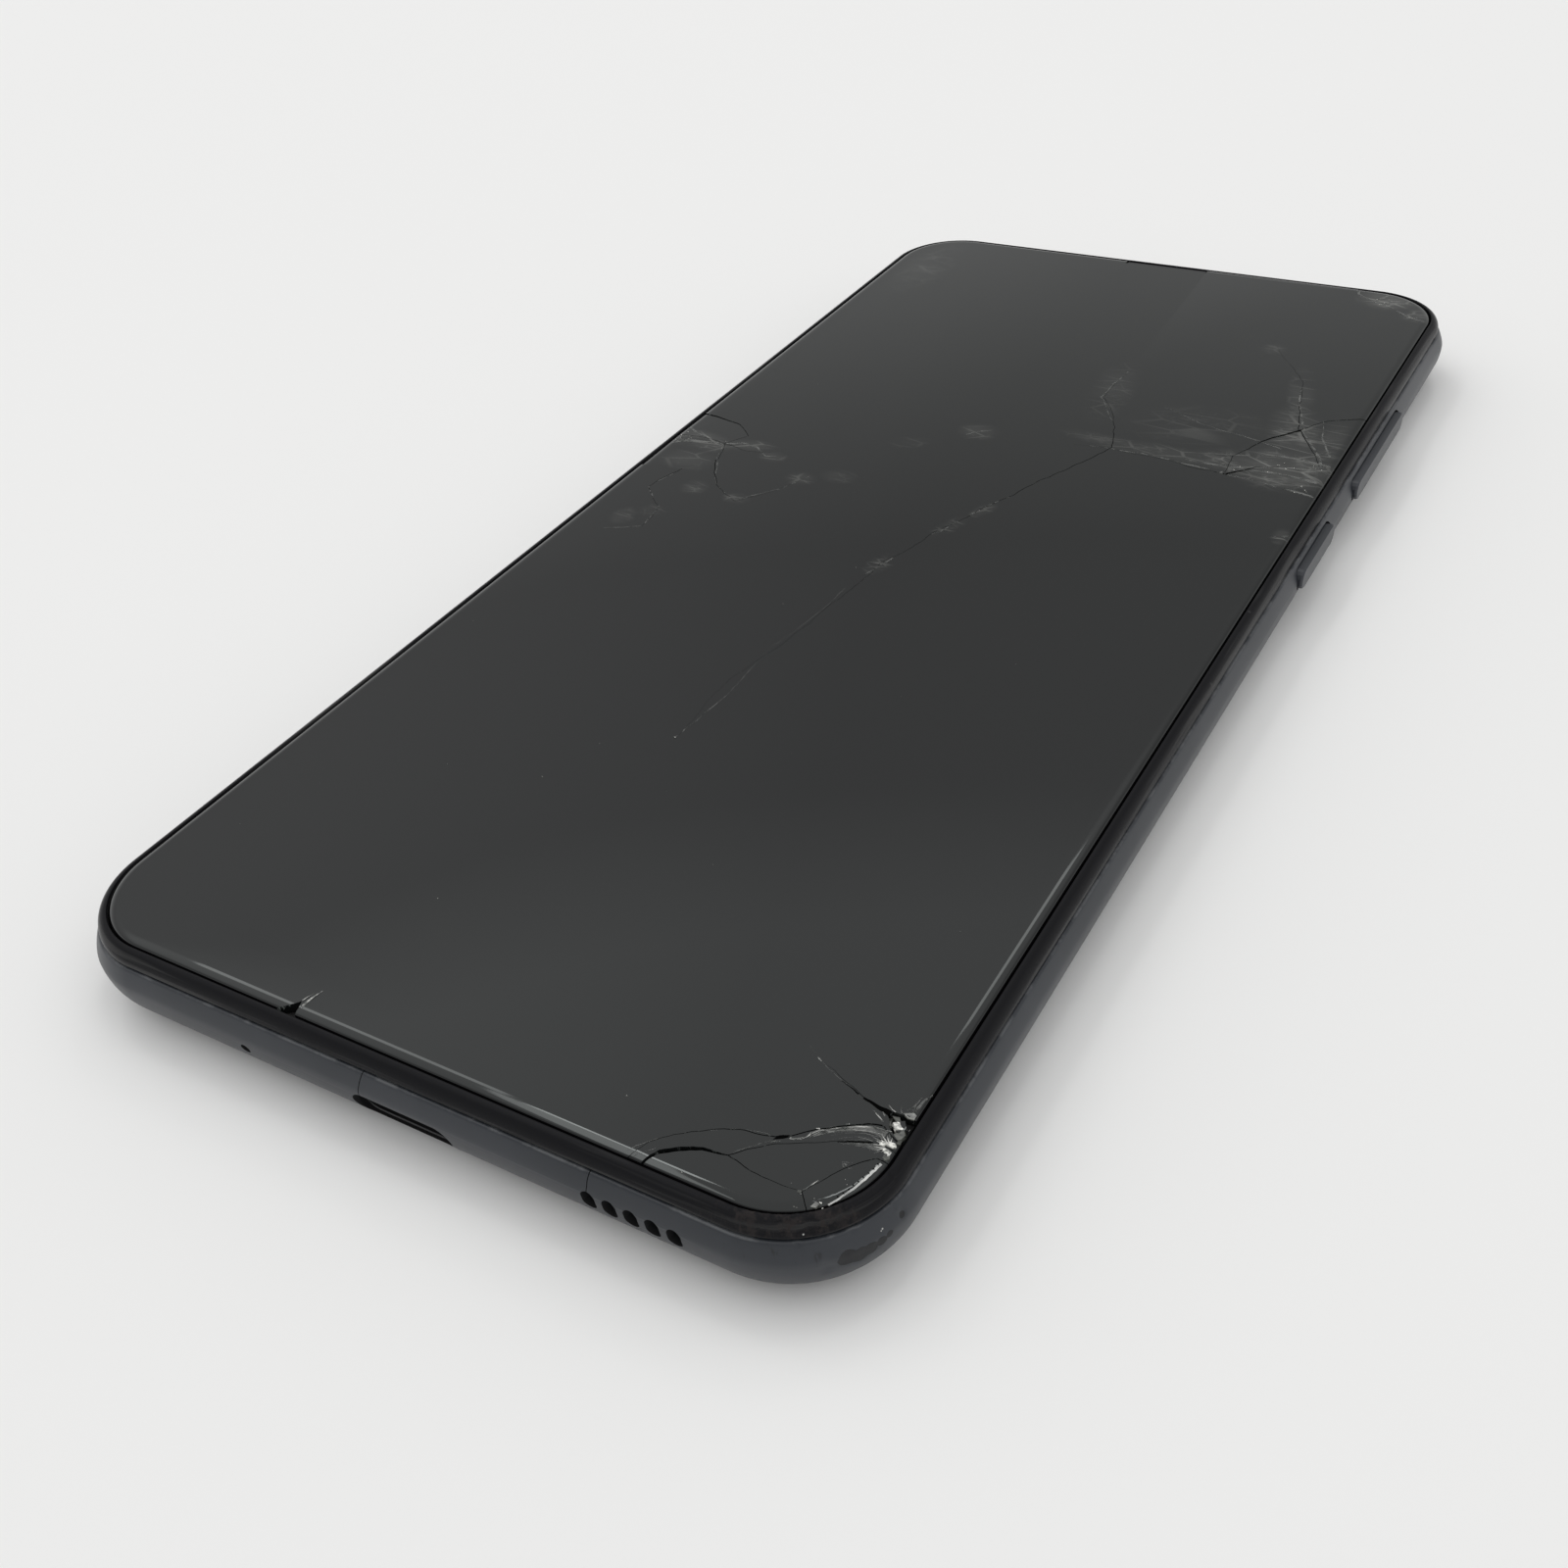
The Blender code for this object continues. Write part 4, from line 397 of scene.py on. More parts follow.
def greyFacet():  # faces of loose fragments that look grey from above
    f = Finish("greyFacet")
    streaks = f.noise(1500, 3, 0.6, f.stretched(0.3, 1, 1, 40))
    colour = f.mixed(streaks.ramp(0.35, 0.65), (0.016, 0.017, 0.014), (0.13, 0.135, 0.12))
    return f.done(BaseColor=colour, Roughness=0.10, IOR=1.5, Normal=f.bump(streaks, 0.4, 0.03))


# near-black, barely reflecting bands for cracks that have opened: the black print seen below, with painted
# shade inside
def gapShade():
    f = Finish("gapShade")
    rough = f.noise(900).ramp(0.3, 0.8) * 0.3 + 0.5
    return f.done(BaseColor=(0.0015, 0.0015, 0.0015), Roughness=rough, IOR=1.06)


def paintedShell():
    look = {
        "paint": (0.026, 0.0295, 0.0365), "deep": (0.019, 0.0225, 0.028), "bare": (0.15, 0.155, 0.16),
        "scar": (0.009, 0.009, 0.010), "chip": (0.5, 0.5, 0.48), "scarReach": 9.55,
        "scars": (  # bearing on the fallen corner, height, radius
            (-39, 4.7, 0.75), (-34, 4.5, 0.75), (-29, 4.6, 0.6), (-24, 4.7, 0.45), (-20, 4.9, 0.3),
            (-12, 5.5, 0.3),
        ),
    }
    f = Finish("paintedShell")
    flake = f.noise(5200, 2, 0.5)
    soft = f.noise(60, 3, 0.55)
    # a thin band at the top of the rim painted lighter: partly worn paint, partly a painted highlight along
    # the edge
    rimWearAndHighlight = f.axis("Z").ramp(6.46 * mm, 6.56 * mm) * f.noise(420, 4, 0.6).ramp(0.44, 0.60)
    corner = f.near((33.5, -76.0, 5.0), 7.0, 0.5)
    nicks = f.cells(520, "F1").ramp(0.14, 0.05) * f.noise(210, 2).ramp(0.58, 0.66)
    scratches = f.noise(1900, 3, 0.6, f.stretched(1, 1, 0.16)).ramp(0.60, 0.68)
    scuffs = scratches * f.noise(300, 2).ramp(0.5, 0.6) * corner
    patch = None
    for bearing, height, radius in look["scars"]:
        across = look["scarReach"] * math.cos(math.radians(bearing))
        along = look["scarReach"] * math.sin(math.radians(bearing))
        part = f.near((cornerX + across, cornerY + along, height), radius, 0.25)
        patch = part if patch is None else patch.top(part)
    patch = (patch * 0.9 + f.noise(1300, 4, 0.7) - 0.5).ramp(0.42, 0.56)
    chip = f.near((36.12, -73.84, 5.65), 0.07, 0.4).top(f.near((36.04, -73.95, 5.55), 0.05, 0.4))
    colour = f.mixed(soft.ramp(0.35, 0.65), look["paint"], look["deep"])
    colour = f.mixed(rimWearAndHighlight * 0.4, colour, look["bare"])
    colour = f.mixed(nicks * (corner * 0.7 + 0.05), colour, look["bare"])
    colour = f.mixed((patch * 0.85).top(scuffs * 0.6), colour, look["scar"])
    colour = f.mixed(chip, colour, look["chip"])
    rough = 0.36 + soft * 0.06 + patch * 0.25 + scuffs * 0.15
    dents = f.bump(nicks * corner + patch * f.noise(2200, 3, 0.6), 0.5, 0.04)
    return f.done(BaseColor=colour, Roughness=rough, Metallic=0.15, Normal=f.bump(flake, 0.12, 0.01, dents))


def glossFrame():
    look = {"black": (0.0105, 0.0105, 0.0118), "scuff": (0.034, 0.029, 0.028), "dust": (0.24, 0.24, 0.23)}
    f = Finish("glossFrame")
    band = f.near((30.9, -76.8, 7.5), 5.0, 0.3)
    mottled = f.noise(700, 4, 0.7).ramp(0.50, 0.64)
    cross = f.noise(1700, 3, 0.6, f.stretched(1, 1, 0.2)).ramp(0.54, 0.66)
    scuff = (band * (mottled * 0.7 + cross * 0.4)).low(1.0)
    specks = f.cells(330, "F1").ramp(0.080, 0.03) * f.noise(120, 2).ramp(0.52, 0.62)
    fine = f.noise(1700, 4, 0.7).ramp(0.62, 0.78)
    colour = f.mixed(scuff * 0.8, look["black"], look["scuff"])
    colour = f.mixed((specks * (band * 0.8 + 0.12)).low(1.0), colour, look["dust"])
    nick = f.near((32.45, -77.45, 7.15), 0.08, 0.4).top(f.near((32.55, -77.38, 7.2), 0.06, 0.4))
    # fine lengthwise streaks, a little lighter and less rough: painted highlight streaks along the bezel
    highlightStreaks = f.noise(1700, 3, 0.6, f.stretched(0.02, 0.02, 1)).ramp(0.5, 0.66) * (1 - scuff)  # fine lines
    colour = f.mixed(nick.top(highlightStreaks * 0.045), colour, (0.5, 0.5, 0.48))
    rough = 0.27 + scuff * 0.25 + fine * 0.08 - highlightStreaks * 0.06
    return f.done(BaseColor=colour, Roughness=rough, IOR=1.14,
                  Normal=f.bump(scuff * cross + specks, 0.5, 0.03))


def plainFinish(name, colour, other, roughness, metallic=0.0, scale=400, bump=0.2, coat=0.0,
                stretch=(1, 1, 1)):
    f = Finish(name)
    grain = f.noise(scale, 3, 0.55, f.stretched(*stretch))
    soft = f.noise(scale / 12, 2, 0.5)
    mixed = f.mixed(grain.ramp(0.3, 0.7) * 0.5 + soft * 0.5, colour, other)
    rough = roughness + (grain - 0.5) * 0.12
    return f.done(BaseColor=mixed, Roughness=rough, Metallic=metallic, CoatWeight=coat,
                  Normal=f.bump(grain, bump, 0.02))


def wovenMesh():
    f = Finish("wovenMesh")
    holes = f.cells(3600, "F1", loose=0.1).ramp(0.32, 0.20)
    colour = f.mixed(holes, (0.02, 0.02, 0.022), (0.001, 0.001, 0.001))
    return f.done(BaseColor=colour, Roughness=0.5, Metallic=0.3, Normal=f.bump(1 - holes, 0.6, 0.05))


def circuitBoard():
    f = Finish("circuitBoard")
    tracks = f.cells(900, loose=0.3).ramp(0.05, 0.02)
    pads = f.cells(700, "F1", loose=0.6).ramp(0.16, 0.10)
    colour = f.mixed(tracks * 0.7, (0.012, 0.075, 0.040), (0.03, 0.13, 0.07))
    colour = f.mixed(pads * f.noise(160, 2).ramp(0.5, 0.6), colour, (0.70, 0.50, 0.22))
    return f.done(BaseColor=colour, Roughness=0.38, Normal=f.bump(tracks.top(pads), 0.4, 0.03))


glassLook = polishedGlass()
faceLook = brokenFace()
glintLook = crackLight("glint", (0.16, 0.17, 0.16), (0.80, 0.80, 0.76), 0.85)
# dim painted light caught in the cracks
dimCrackLightLook = crackLight("veil", (0.05, 0.055, 0.05), (0.24, 0.245, 0.235), 0.5)
facetLook = greyFacet()
shineLook = edgeShine()
crushLook = crushedGlass()
gapShadeLook = gapShade()
paint = paintedShell()
gloss = glossFrame()
dark = plainFinish("darkMoulding", (0.010, 0.010, 0.011), (0.006, 0.006, 0.007), 0.6, 0, 1500, 0.3)
steel = plainFinish("stampedSteel", (0.60, 0.60, 0.62), (0.42, 0.42, 0.44), 0.30, 1.0, 900, 0.15,
                    stretch=(0.2, 1, 1))
# nickel darkened to stand for the shade deep in the ports: painted shade
shadedNickel = plainFinish("nickelPaintedShade", (0.030, 0.030, 0.032), (0.020, 0.020, 0.021), 0.55, 0.6, 900, 0.15)
moulding = plainFinish("blackMoulding", (0.030, 0.030, 0.032), (0.020, 0.020, 0.022), 0.55, 0, 1500, 0.3)
foam = plainFinish("foamTape", (0.008, 0.008, 0.008), (0.014, 0.014, 0.014), 0.9, 0, 2600, 0.6)
foil = plainFinish("pouchFoil", (0.085, 0.085, 0.09), (0.060, 0.060, 0.065), 0.32, 0.6, 120, 0.25)
film = plainFinish("amberFilm", (0.34, 0.15, 0.035), (0.24, 0.10, 0.025), 0.35, 0, 500, 0.15, 0.4)
screen = plainFinish("darkPanel", (0.004, 0.004, 0.005), (0.006, 0.006, 0.007), 0.25, 0, 300, 0.05)
lens = plainFinish("cameraGlass", (0.004, 0.004, 0.006), (0.007, 0.007, 0.010), 0.06, 0, 200, 0.01, 0.5)
flash = plainFinish("flashLens", (0.78, 0.76, 0.66), (0.70, 0.67, 0.55), 0.30, 0, 1800, 0.5, 0.3)
board = circuitBoard()
mesh = wovenMesh()
finishes = {
    "power_key": paint, "volume_rocker": paint, "sim_tray": paint,
    "display_panel": screen, "screen_tape": foam, "battery": foil, "main_board": board,
    "charging_board": board, "processor_shield": steel, "radio_shield": steel, "usb_socket": shadedNickel,
    "sim_reader": steel, "vibration_motor": steel, "microphone": shadedNickel, "camera_bezel": steel,
    "antenna_bracket": moulding, "speaker_box": moulding, "usb_tongue": dark, "main_camera": moulding,
    "wide_camera": moulding, "front_camera": moulding, "receiver": moulding, "speaker_mesh": mesh,
    "receiver_mesh": mesh, "camera_window": lens, "flash_lens": flash, "side_key_flex": film,
    "main_flex": film, "display_flex": film, "rear_cover": paint, "mid_frame": gloss,
}
for name, node in nodes.items():
    glassy = name == "cover_glass" or name.endswith("_shard") or name == "corner_splinter"
    look = glassLook if glassy else steel if name.startswith("screw_") else finishes[name]
    node.data.materials.clear()
    node.data.materials.append(look)
    node.data.shade_smooth()
    node.data.set_sharp_from_angle(angle=math.radians(27))
print("finishes made")


# The rear cover

coverSizes = {
    "bellyInset": 4.3, "bellyHeight": 5.0, "wall": 0.9, "shoulder": 0.5, "shoulderTop": 6.38, "rim": 6.6,
    "rimInset": 0.74, "rimInner": 1.45, "rimEase": ((0.55, 6.47), (0.62, 6.55)), "lip": 6.15,
    "lipFoot": (1.0, 5.93), "steps": 72,
    # where cuts start and end: inwards from the bottom edge, outwards from the middle, upwards from the back
    "deepCut": (-1, 3.8), "socketCut": (0.7, 8), "shallowCut": (-1, 1.75), "socketPlay": 0.3,
    "gate": (35.25, 38), "backCut": (-1, 1.9),
    # openings in the edges: length, height and middle, but for the keys length and middle
    "usb": (9.1, 2.5, 0.0, 3.4), "mic": (0.9, 0.9, -15.2, 3.95), "vent": (1.15, 1.85, 16.84, 4.25),
    "ventPitch": 1.73, "keys": ((11.4, 18.4), (19.1, 41.7)), "keyHeight": 2.0, "keyLevel": 5.0,
    "tray": (16.8, 1.6, 47.0, 4.75), "play": 0.2,
    # openings in the back: half width, half length, corner and middle
    "window": (6.5, 13.0, 5.0, (21, 60)), "flashHole": (2.3, 2.3, 2.299, (21, 43.5)),
    # damage: hairline cracks, and hollows with bearing, height, distance, radius and depth
    "crackWidth": 0.07,
    "cracks": (((-2.8, 7.6), (-3.45, 5.2), (-3.7, 3.75)), ((17.09, 7.6), (16.84, 5.4), (16.69, 4.25))),
    "dents": ((-39, 4.7, 9.5, 0.9, 0.10), (-33, 4.5, 9.5, 0.8, 0.10), (-26, 4.7, 9.5, 0.5, 0.10),
              (-47, 4.5, 9.4, 0.8, 0.10), (-12, 5.5, 9.5, 0.36, 0.14), (-58, 6.5, 9.0, 0.30, 0.10),
              (-35, 6.5, 9.0, 0.35, 0.12), (-14, 6.45, 9.1, 0.28, 0.10)),
}


def makeCover():
    s = coverSizes
    rise = s["shoulderTop"] - s["bellyHeight"]
    outer = quarter((s["bellyInset"], s["bellyHeight"]), s["bellyInset"], s["bellyHeight"], 18)
    shoulder = [(s["shoulder"] * (i / 6) ** 1.3, s["bellyHeight"] + rise * i / 6) for i in range(1, 7)]
    rim = [*s["rimEase"], (s["rimInset"], s["rim"]), (s["rimInner"], s["rim"])]
    lip = [(s["rimInner"], s["lip"]), s["lipFoot"]]
    middle = (s["bellyInset"], s["bellyHeight"])
    inner = quarter(middle, s["bellyInset"] - s["wall"], s["bellyHeight"] - s["wall"], 8)
    cover = caseSkin("rearCover", outer + shoulder + rim + lip + inner[::-1], [paint], s["steps"])
    dent(cover, s["dents"])
    edge = -phone["halfY"]
    deep, wide, shallow = ((edge + a, edge + b) for a, b in (s["deepCut"], s["socketCut"], s["shallowCut"]))
    length, height, x, z = s["usb"]
    slots = [(slotLine(length, height, (x, z)), *deep)]
    slots.append((slotLine(length + 2 * s["socketPlay"], height + 2 * s["socketPlay"], (x, z)), *wide))
    length, height, x, z = s["mic"]
    slots.append((slotLine(length, height, (x, z)), *deep))
    length, height, x, z = s["vent"]
    slots += [(slotLine(length, height, (x + i * s["ventPitch"], z)), *shallow) for i in range(5)]
    for line in s["cracks"]:
        left, right = bandSides(crooked(line, 0.03, 4), (s["crackWidth"], s["crackWidth"]))
        slots.append((left + right[::-1], *shallow))
    tools = [skin(f"port{i}", [(line, low), (line, high)], [dark], axis="y")
             for i, (line, low, high) in enumerate(slots)]
    low, high = s["gate"]
    for length, y in s["keys"]:
        line = slotLine(length + 2 * s["play"], s["keyHeight"] + 2 * s["play"], (y, s["keyLevel"]))
        tools.append(skin(f"keyGate{y}", [(line, low), (line, high)], [dark], axis="x"))
    length, height, y, z = s["tray"]
    line = slotLine(length + 2 * s["play"], height + 2 * s["play"], (y, z))
    tools.append(skin("trayGate", [(line, -high), (line, -low)], [dark], axis="x"))
    for name in ("window", "flashHole"):
        line = rounded(*s[name], 12)
        tools.append(skin(f"{name}Gate", [(line, depth) for depth in s["backCut"]], [dark]))
    return seated(carve(cover, tools), "phone", "painted_shell", "rear_cover")


makeCover()
print("rear cover made")


# The mid frame: its hidden part as in the CAD, and a finer, scuffed bezel

bezelSizes = {
    "foot": 6.85, "inset": 0.75, "topInset": 1.65, "top": 8.12, "join": 6.83, "inner": 1.79, "steps": 96,
    "innerEase": ((1.69, 8.105), (1.71, 8.06)), "scuffDepth": 0.13,
    "dents": ((-62, 7.7, 8.5, 0.5, 0.14), (-52, 7.5, 8.7, 0.7, 0.16), (-38, 7.8, 8.4, 0.45, 0.14),
              (-8, 7.9, 8.3, 0.35, 0.12), (-71, 7.3, 8.8, 0.4, 0.10)),
}


def makeFrame():
    s = bezelSizes
    rise, reach = s["top"] - s["foot"], s["topInset"] - s["inset"]
    turns = [math.radians(90 * i / 12) for i in range(13)]
    stations = [(s["inset"] + reach * (1 - math.cos(t)), s["foot"] + rise * math.sin(t)) for t in turns]
    stations += [*s["innerEase"], (s["inner"], s["join"]), (s["inset"] + 0.02, s["join"])]
    bezel = caseSkin("bezel", stations, [gloss], s["steps"], ring=True)
    for vert in bezel.data.vertices:
        place = vert.co / mm
        bearing = aroundCorner(place)[0]
        zone = eased(bearing, -96, -74) * eased(bearing, -22, -40) * eased(place.z, 6.9, 7.2)
        if zone > 0 and place.x > cornerX - 2 and place.y < cornerY + 2:
            ridges = abs(noise.noise(Vector((place.x * 2.2, place.y * 2.2, place.z * 0.9))))
            ridges += 0.5 * abs(noise.noise(place * 5.0))
            inward = Vector((cornerX - place.x, cornerY - place.y, -4)).normalized()
            vert.co += inward * zone * ridges * s["scuffDepth"] * mm
    dent(bezel, s["dents"], 0.6)
    lower = bpy.data.objects.new("midFrame", nodes["mid_frame"].data.copy())
    bpy.context.scene.collection.objects.link(lower)
    block = rounded(phone["halfX"] + 1, phone["halfY"] + 1.2, 2)  # wider than the phone all round
    carve(lower, [skin("bezelAway", [(block, s["foot"] - 0.01), (block, 9)])])
    both = bmesh.new()
    both.from_mesh(lower.data)
    both.from_mesh(bezel.data)
    both.to_mesh(lower.data)
    both.free()
    lower.data.set_sharp_from_angle(angle=math.radians(32))
    bpy.data.objects.remove(bezel, do_unlink=True)
    return seated(lower, "phone", "gloss_frame", "mid_frame")


frameBody = makeFrame()
print("mid frame made")


# The cover glass and its fragments

glassSizes = {
    "inset": 1.90, "edgeWidth": 0.84, "edgeDrop": 0.38, "bottom": 7.5, "kerf": 0.06, "steps": 90,
    "hairline": (0.09, 0.05, 0.03, 0.012), "earNotch": (5.5, 76.75, 80), "past": 0.4,
}
fractures = {
    "cornerOuter": [(35.9, -69.1), (34.6, -68.9), (33.4, -68.2), (32.4, -68.5), (31.0, -69.4),
                    (29.6, -70.4), (28.4, -71.6), (27.4, -72.2), (25.0, -72.7), (23.1, -73.7),
                    (21.3, -75.0), (20.1, -76.3), (18.8, -79.0)],
    "cornerInner": [(35.9, -69.7), (34.4, -69.7), (33.0, -69.8), (31.4, -70.6), (29.5, -71.7), (27.7, -72.7),
                    (26.3, -73.9), (25.4, -74.9), (23.6, -75.1), (22.3, -75.7), (21.1, -76.6), (19.9, -79.0)],
    "cornerBend": [(35.9, -70.7), (34.2, -70.8), (33.0, -72.1), (32.4, -73.0), (31.8, -74.2), (31.2, -75.3)],
    "cornerLow": [(25.4, -74.9), (28.2, -75.4), (31.2, -75.3)],
    "cornerTip": [(31.2, -75.3), (32.0, -76.2), (33.4, -78.0)],
    "blowHole": [(36.0, -66.7), (34.3, -66.8), (32.9, -67.0), (33.5, -67.6), (33.8, -68.2), (34.6, -68.8),
                 (36.0, -69.0)],
    "splinter": [(34.5, -67.2), (33.9, -67.5), (33.9, -68.0), (34.5, -68.3), (34.9, -67.8)],
    "rightLow": [(36.0, 23.4), (33.6, 23.8), (30.0, 24.9), (25.0, 25.4)],
    "rightRadial": [(25.0, 25.4), (27.6, 28.2), (30.5, 29.3), (33.6, 30.5), (36.0, 30.9)],
    "rightRise": [(33.6, 30.5), (31.6, 34.2), (29.4, 38.0)],
    "rightTop": [(29.4, 38.0), (31.5, 41.0), (33.6, 42.2), (36.0, 43.6)],
    "rightBack": [(29.4, 38.0), (26.4, 34.0), (24.6, 29.6), (25.0, 25.4)],
    "leftLow": [(-36.0, 4.2), (-33.2, 4.9), (-29.6, 5.4), (-27.2, 8.6), (-28.5, 12.2)],
    "leftRadial": [(-28.5, 12.2), (-31.5, 12.7), (-36.0, 12.3)],
    "leftTop": [(-28.5, 12.2), (-27.0, 14.8), (-29.5, 17.0), (-36.0, 18.4)],
    "topCorner": [(24.4, 79.0), (25.2, 76.2), (27.6, 74.4), (30.2, 73.2), (32.6, 71.0), (36.0, 70.2),
                  (36.0, 79.0)],
    "lowChip": [(-13.4, -79.0), (-12.4, -78.0), (-11.6, -77.6), (-11.0, -77.1), (-10.7, -76.7),
                (-10.45, -77.4), (-10.4, -79.0)],
}
hairlines = {
    "cornerRadial": [(33.1, -67.1), (31.9, -66.9), (29.9, -66.1), (28.2, -65.4), (26.9, -65.0)],
    "chipTail": [(-10.9, -79.0), (-10.45, -77.4), (-10.1, -76.4), (-9.95, -75.4)],
    "rightTail": [(25.3, 25.5), (18.0, 26.3), (12.0, 26.6), (8.0, 26.0)],
    "rightCreep": [(29.2, 37.8), (27.7, 43.0), (26.2, 49.6), (22.4, 55.0), (20.6, 58.0)],
    "middle": [(12.0, 26.6), (6.6, 13.2), (4.4, 8.4), (2.6, 4.0), (0.0, -4.4), (-1.0, -14.0), (-2.9, -37.8)],
    "middleHigh": [(12.1, 26.7), (10.6, 31.6), (6.8, 38.0), (6.9, 45.4)],
    "leftTail": [(-27.4, 8.5), (-24.2, 3.4), (-20.4, 1.0), (-17.2, 5.2), (-15.8, 8.6)],
    "leftDrop": [(-29.8, 5.5), (-31.0, 0.2), (-27.4, -3.2), (-26.8, -7.4), (-30.4, -9.2)],
    "leftReach": [(-28.6, 12.1), (-25.2, 11.5), (-22.4, 12.2)],
}
lines = {name: crooked(line, 0.035, i + 5) for i, (name, line) in enumerate(fractures.items())}
thin = {name: crooked(line, 0.05, i + 60) for i, (name, line) in enumerate(hairlines.items())}


def nearest(line, spot):
    return min(range(len(line)), key=lambda i: (Vector(line[i]) - Vector(spot)).length)


def shardOutlines():
    inner, low, bend = lines["cornerInner"], lines["cornerLow"], lines["cornerBend"]
    radial, rise = lines["rightRadial"], lines["rightRise"]
    meet = nearest(inner, (25.4, -74.9))
    opened = inner[meet:]
    # the low fragment's edge sags, which opens the crack
    sag = [(x, y - 0.3 * math.sin(math.pi * min(1, i / (len(opened) - 2))))
           for i, (x, y) in enumerate(opened)]
    fork = nearest(radial, (33.6, 30.5))
    return {
        "corner_arc_shard": lines["cornerOuter"] + inner[::-1],
        "corner_inner_shard": inner[:meet + 1] + low[1:] + bend[:-1][::-1],
        "corner_low_shard": sag + lines["cornerTip"][::-1] + low[1:-1][::-1],
        "corner_edge_shard": bend + lines["cornerTip"][1:] + [(36.2, -79.2)],
        "corner_splinter": lines["splinter"],
        "right_low_shard": lines["rightLow"] + radial[1:],
        "right_middle_shard": radial[:fork + 1] + rise[1:] + lines["rightBack"][1:-1],
        "right_high_shard": rise + lines["rightTop"][1:] + radial[fork + 1:][::-1],
        "left_low_shard": lines["leftLow"] + lines["leftRadial"][1:],
        "left_high_shard": lines["leftRadial"] + lines["leftTop"][1:][::-1],
        "top_corner_shard": lines["topCorner"],
    }


tilts = {  # degrees about X and Y, and how far sunk
    "corner_arc_shard": (-0.35, 0.25, 0.02), "corner_inner_shard": (0.45, 0.4, 0.04),
    "corner_low_shard": (0.3, -0.25, 0.04), "corner_edge_shard": (-0.4, 0.4, 0.04),
    "corner_splinter": (6.0, -7.0, 0.06), "right_low_shard": (0.5, -0.4, 0.04),
    "right_middle_shard": (-0.6, 0.3, 0.05), "right_high_shard": (0.3, 0.6, 0.05),
    "left_low_shard": (0.4, -0.5, 0.05), "left_high_shard": (-0.5, -0.4, 0.04),
    "top_corner_shard": (-0.4, 0.35, 0.05),
}


def glassStations():
    s = glassSizes
    stations = [(s["inset"], s["bottom"])]
    for t in [math.radians(9 * i) for i in range(11)]:
        drop = s["edgeDrop"] * (1 - math.sin(t))
        stations.append((s["inset"] + s["edgeWidth"] * (1 - math.cos(t)), phone["top"] - drop))
    return stations


def through(name, outline):  # a tool that passes through the whole glass
    s = glassSizes
    return skin(name, [(outline, s["bottom"] - s["past"]), (outline, phone["top"] + s["past"])], [faceLook])


def makePane():
    pane = caseSkin("mainPane", glassStations(), [glassLook], glassSizes["steps"])
    grow = -glassSizes["kerf"] / 2
    gone = {
        "corner": lines["cornerOuter"] + [(36.4, -79.4)],
        "right": lines["rightLow"] + lines["rightBack"][1:-1][::-1] + lines["rightTop"],
        "left": lines["leftLow"] + lines["leftTop"][1:], "top": lines["topCorner"],
    }
    tools = [through(f"{name}Gone", drawnIn(outline, grow)) for name, outline in gone.items()]
    tools += [through(name, lines[name]) for name in ("blowHole", "lowChip")]
    for name, line in thin.items():
        left, right = bandSides(line, glassSizes["hairline"])
        tools.append(through(name, left + right[::-1]))
    half, low, high = glassSizes["earNotch"]
    tools.append(through("earNotch", [(-half, low), (half, low), (half, high), (-half, high)]))
    return seated(carve(pane, tools), "phone", "cover_glass", "cover_glass")


def makeShard(name, outline):
    words = name.split("_")
    shard = caseSkin(words[0] + "".join(word.capitalize() for word in words[1:]), glassStations(),
                     [glassLook], glassSizes["steps"])
    if name == "corner_edge_shard":  # its edge is a little wavy
        for vert in shard.data.vertices:
            place = vert.co / mm
            if place.z > 7.8 and aroundCorner(place)[1] > 6.9:
                vert.co.z -= max(0, noise.noise(place * 3.1)) * 0.012 * mm
    aboutX, aboutY, sunk = tilts[name]
    middle = Vector((sum(x for x, _ in outline), sum(y for _, y in outline),
                     phone["top"] * len(outline))) * mm / len(outline)
    turn = Euler((math.radians(aboutX), math.radians(aboutY), 0)).to_matrix()
    shift = middle - turn @ middle - Vector((0, 0, sunk * mm))
    shard.data.transform(Matrix.Translation(shift) @ turn.to_4x4())
    carve(shard, [through(f"{name}Cut", drawnIn(outline, glassSizes["kerf"] / 2))], "INTERSECT")
    return seated(shard, "phone", "cover_glass", name)


glassPieces = [makePane()] + [makeShard(name, outline) for name, outline in shardOutlines().items()]
print("glass made:", len(glassPieces), "pieces")


# What lies on the glass

resting = {"x": 34.8, "y": 77.6, "low": 7.95, "high": 8.35}  # how far out and at what height bits may lie
bpy.context.view_layer.update()
ground = bmesh.new()
for piece in glassPieces + [frameBody, nodes["display_panel"], nodes["screen_tape"]]:
    ground.from_mesh(piece.data)
groundTree = BVHTree.FromBMesh(ground)
ground.free()


def dropped(x, y, lift=0.006):  # where something let fall on the phone comes to rest
    hit = groundTree.ray_cast(Vector((x * mm, y * mm, 12 * mm)), Vector((0, 0, -1)))[0]
    return hit + Vector((0, 0, lift * mm)) if hit else None


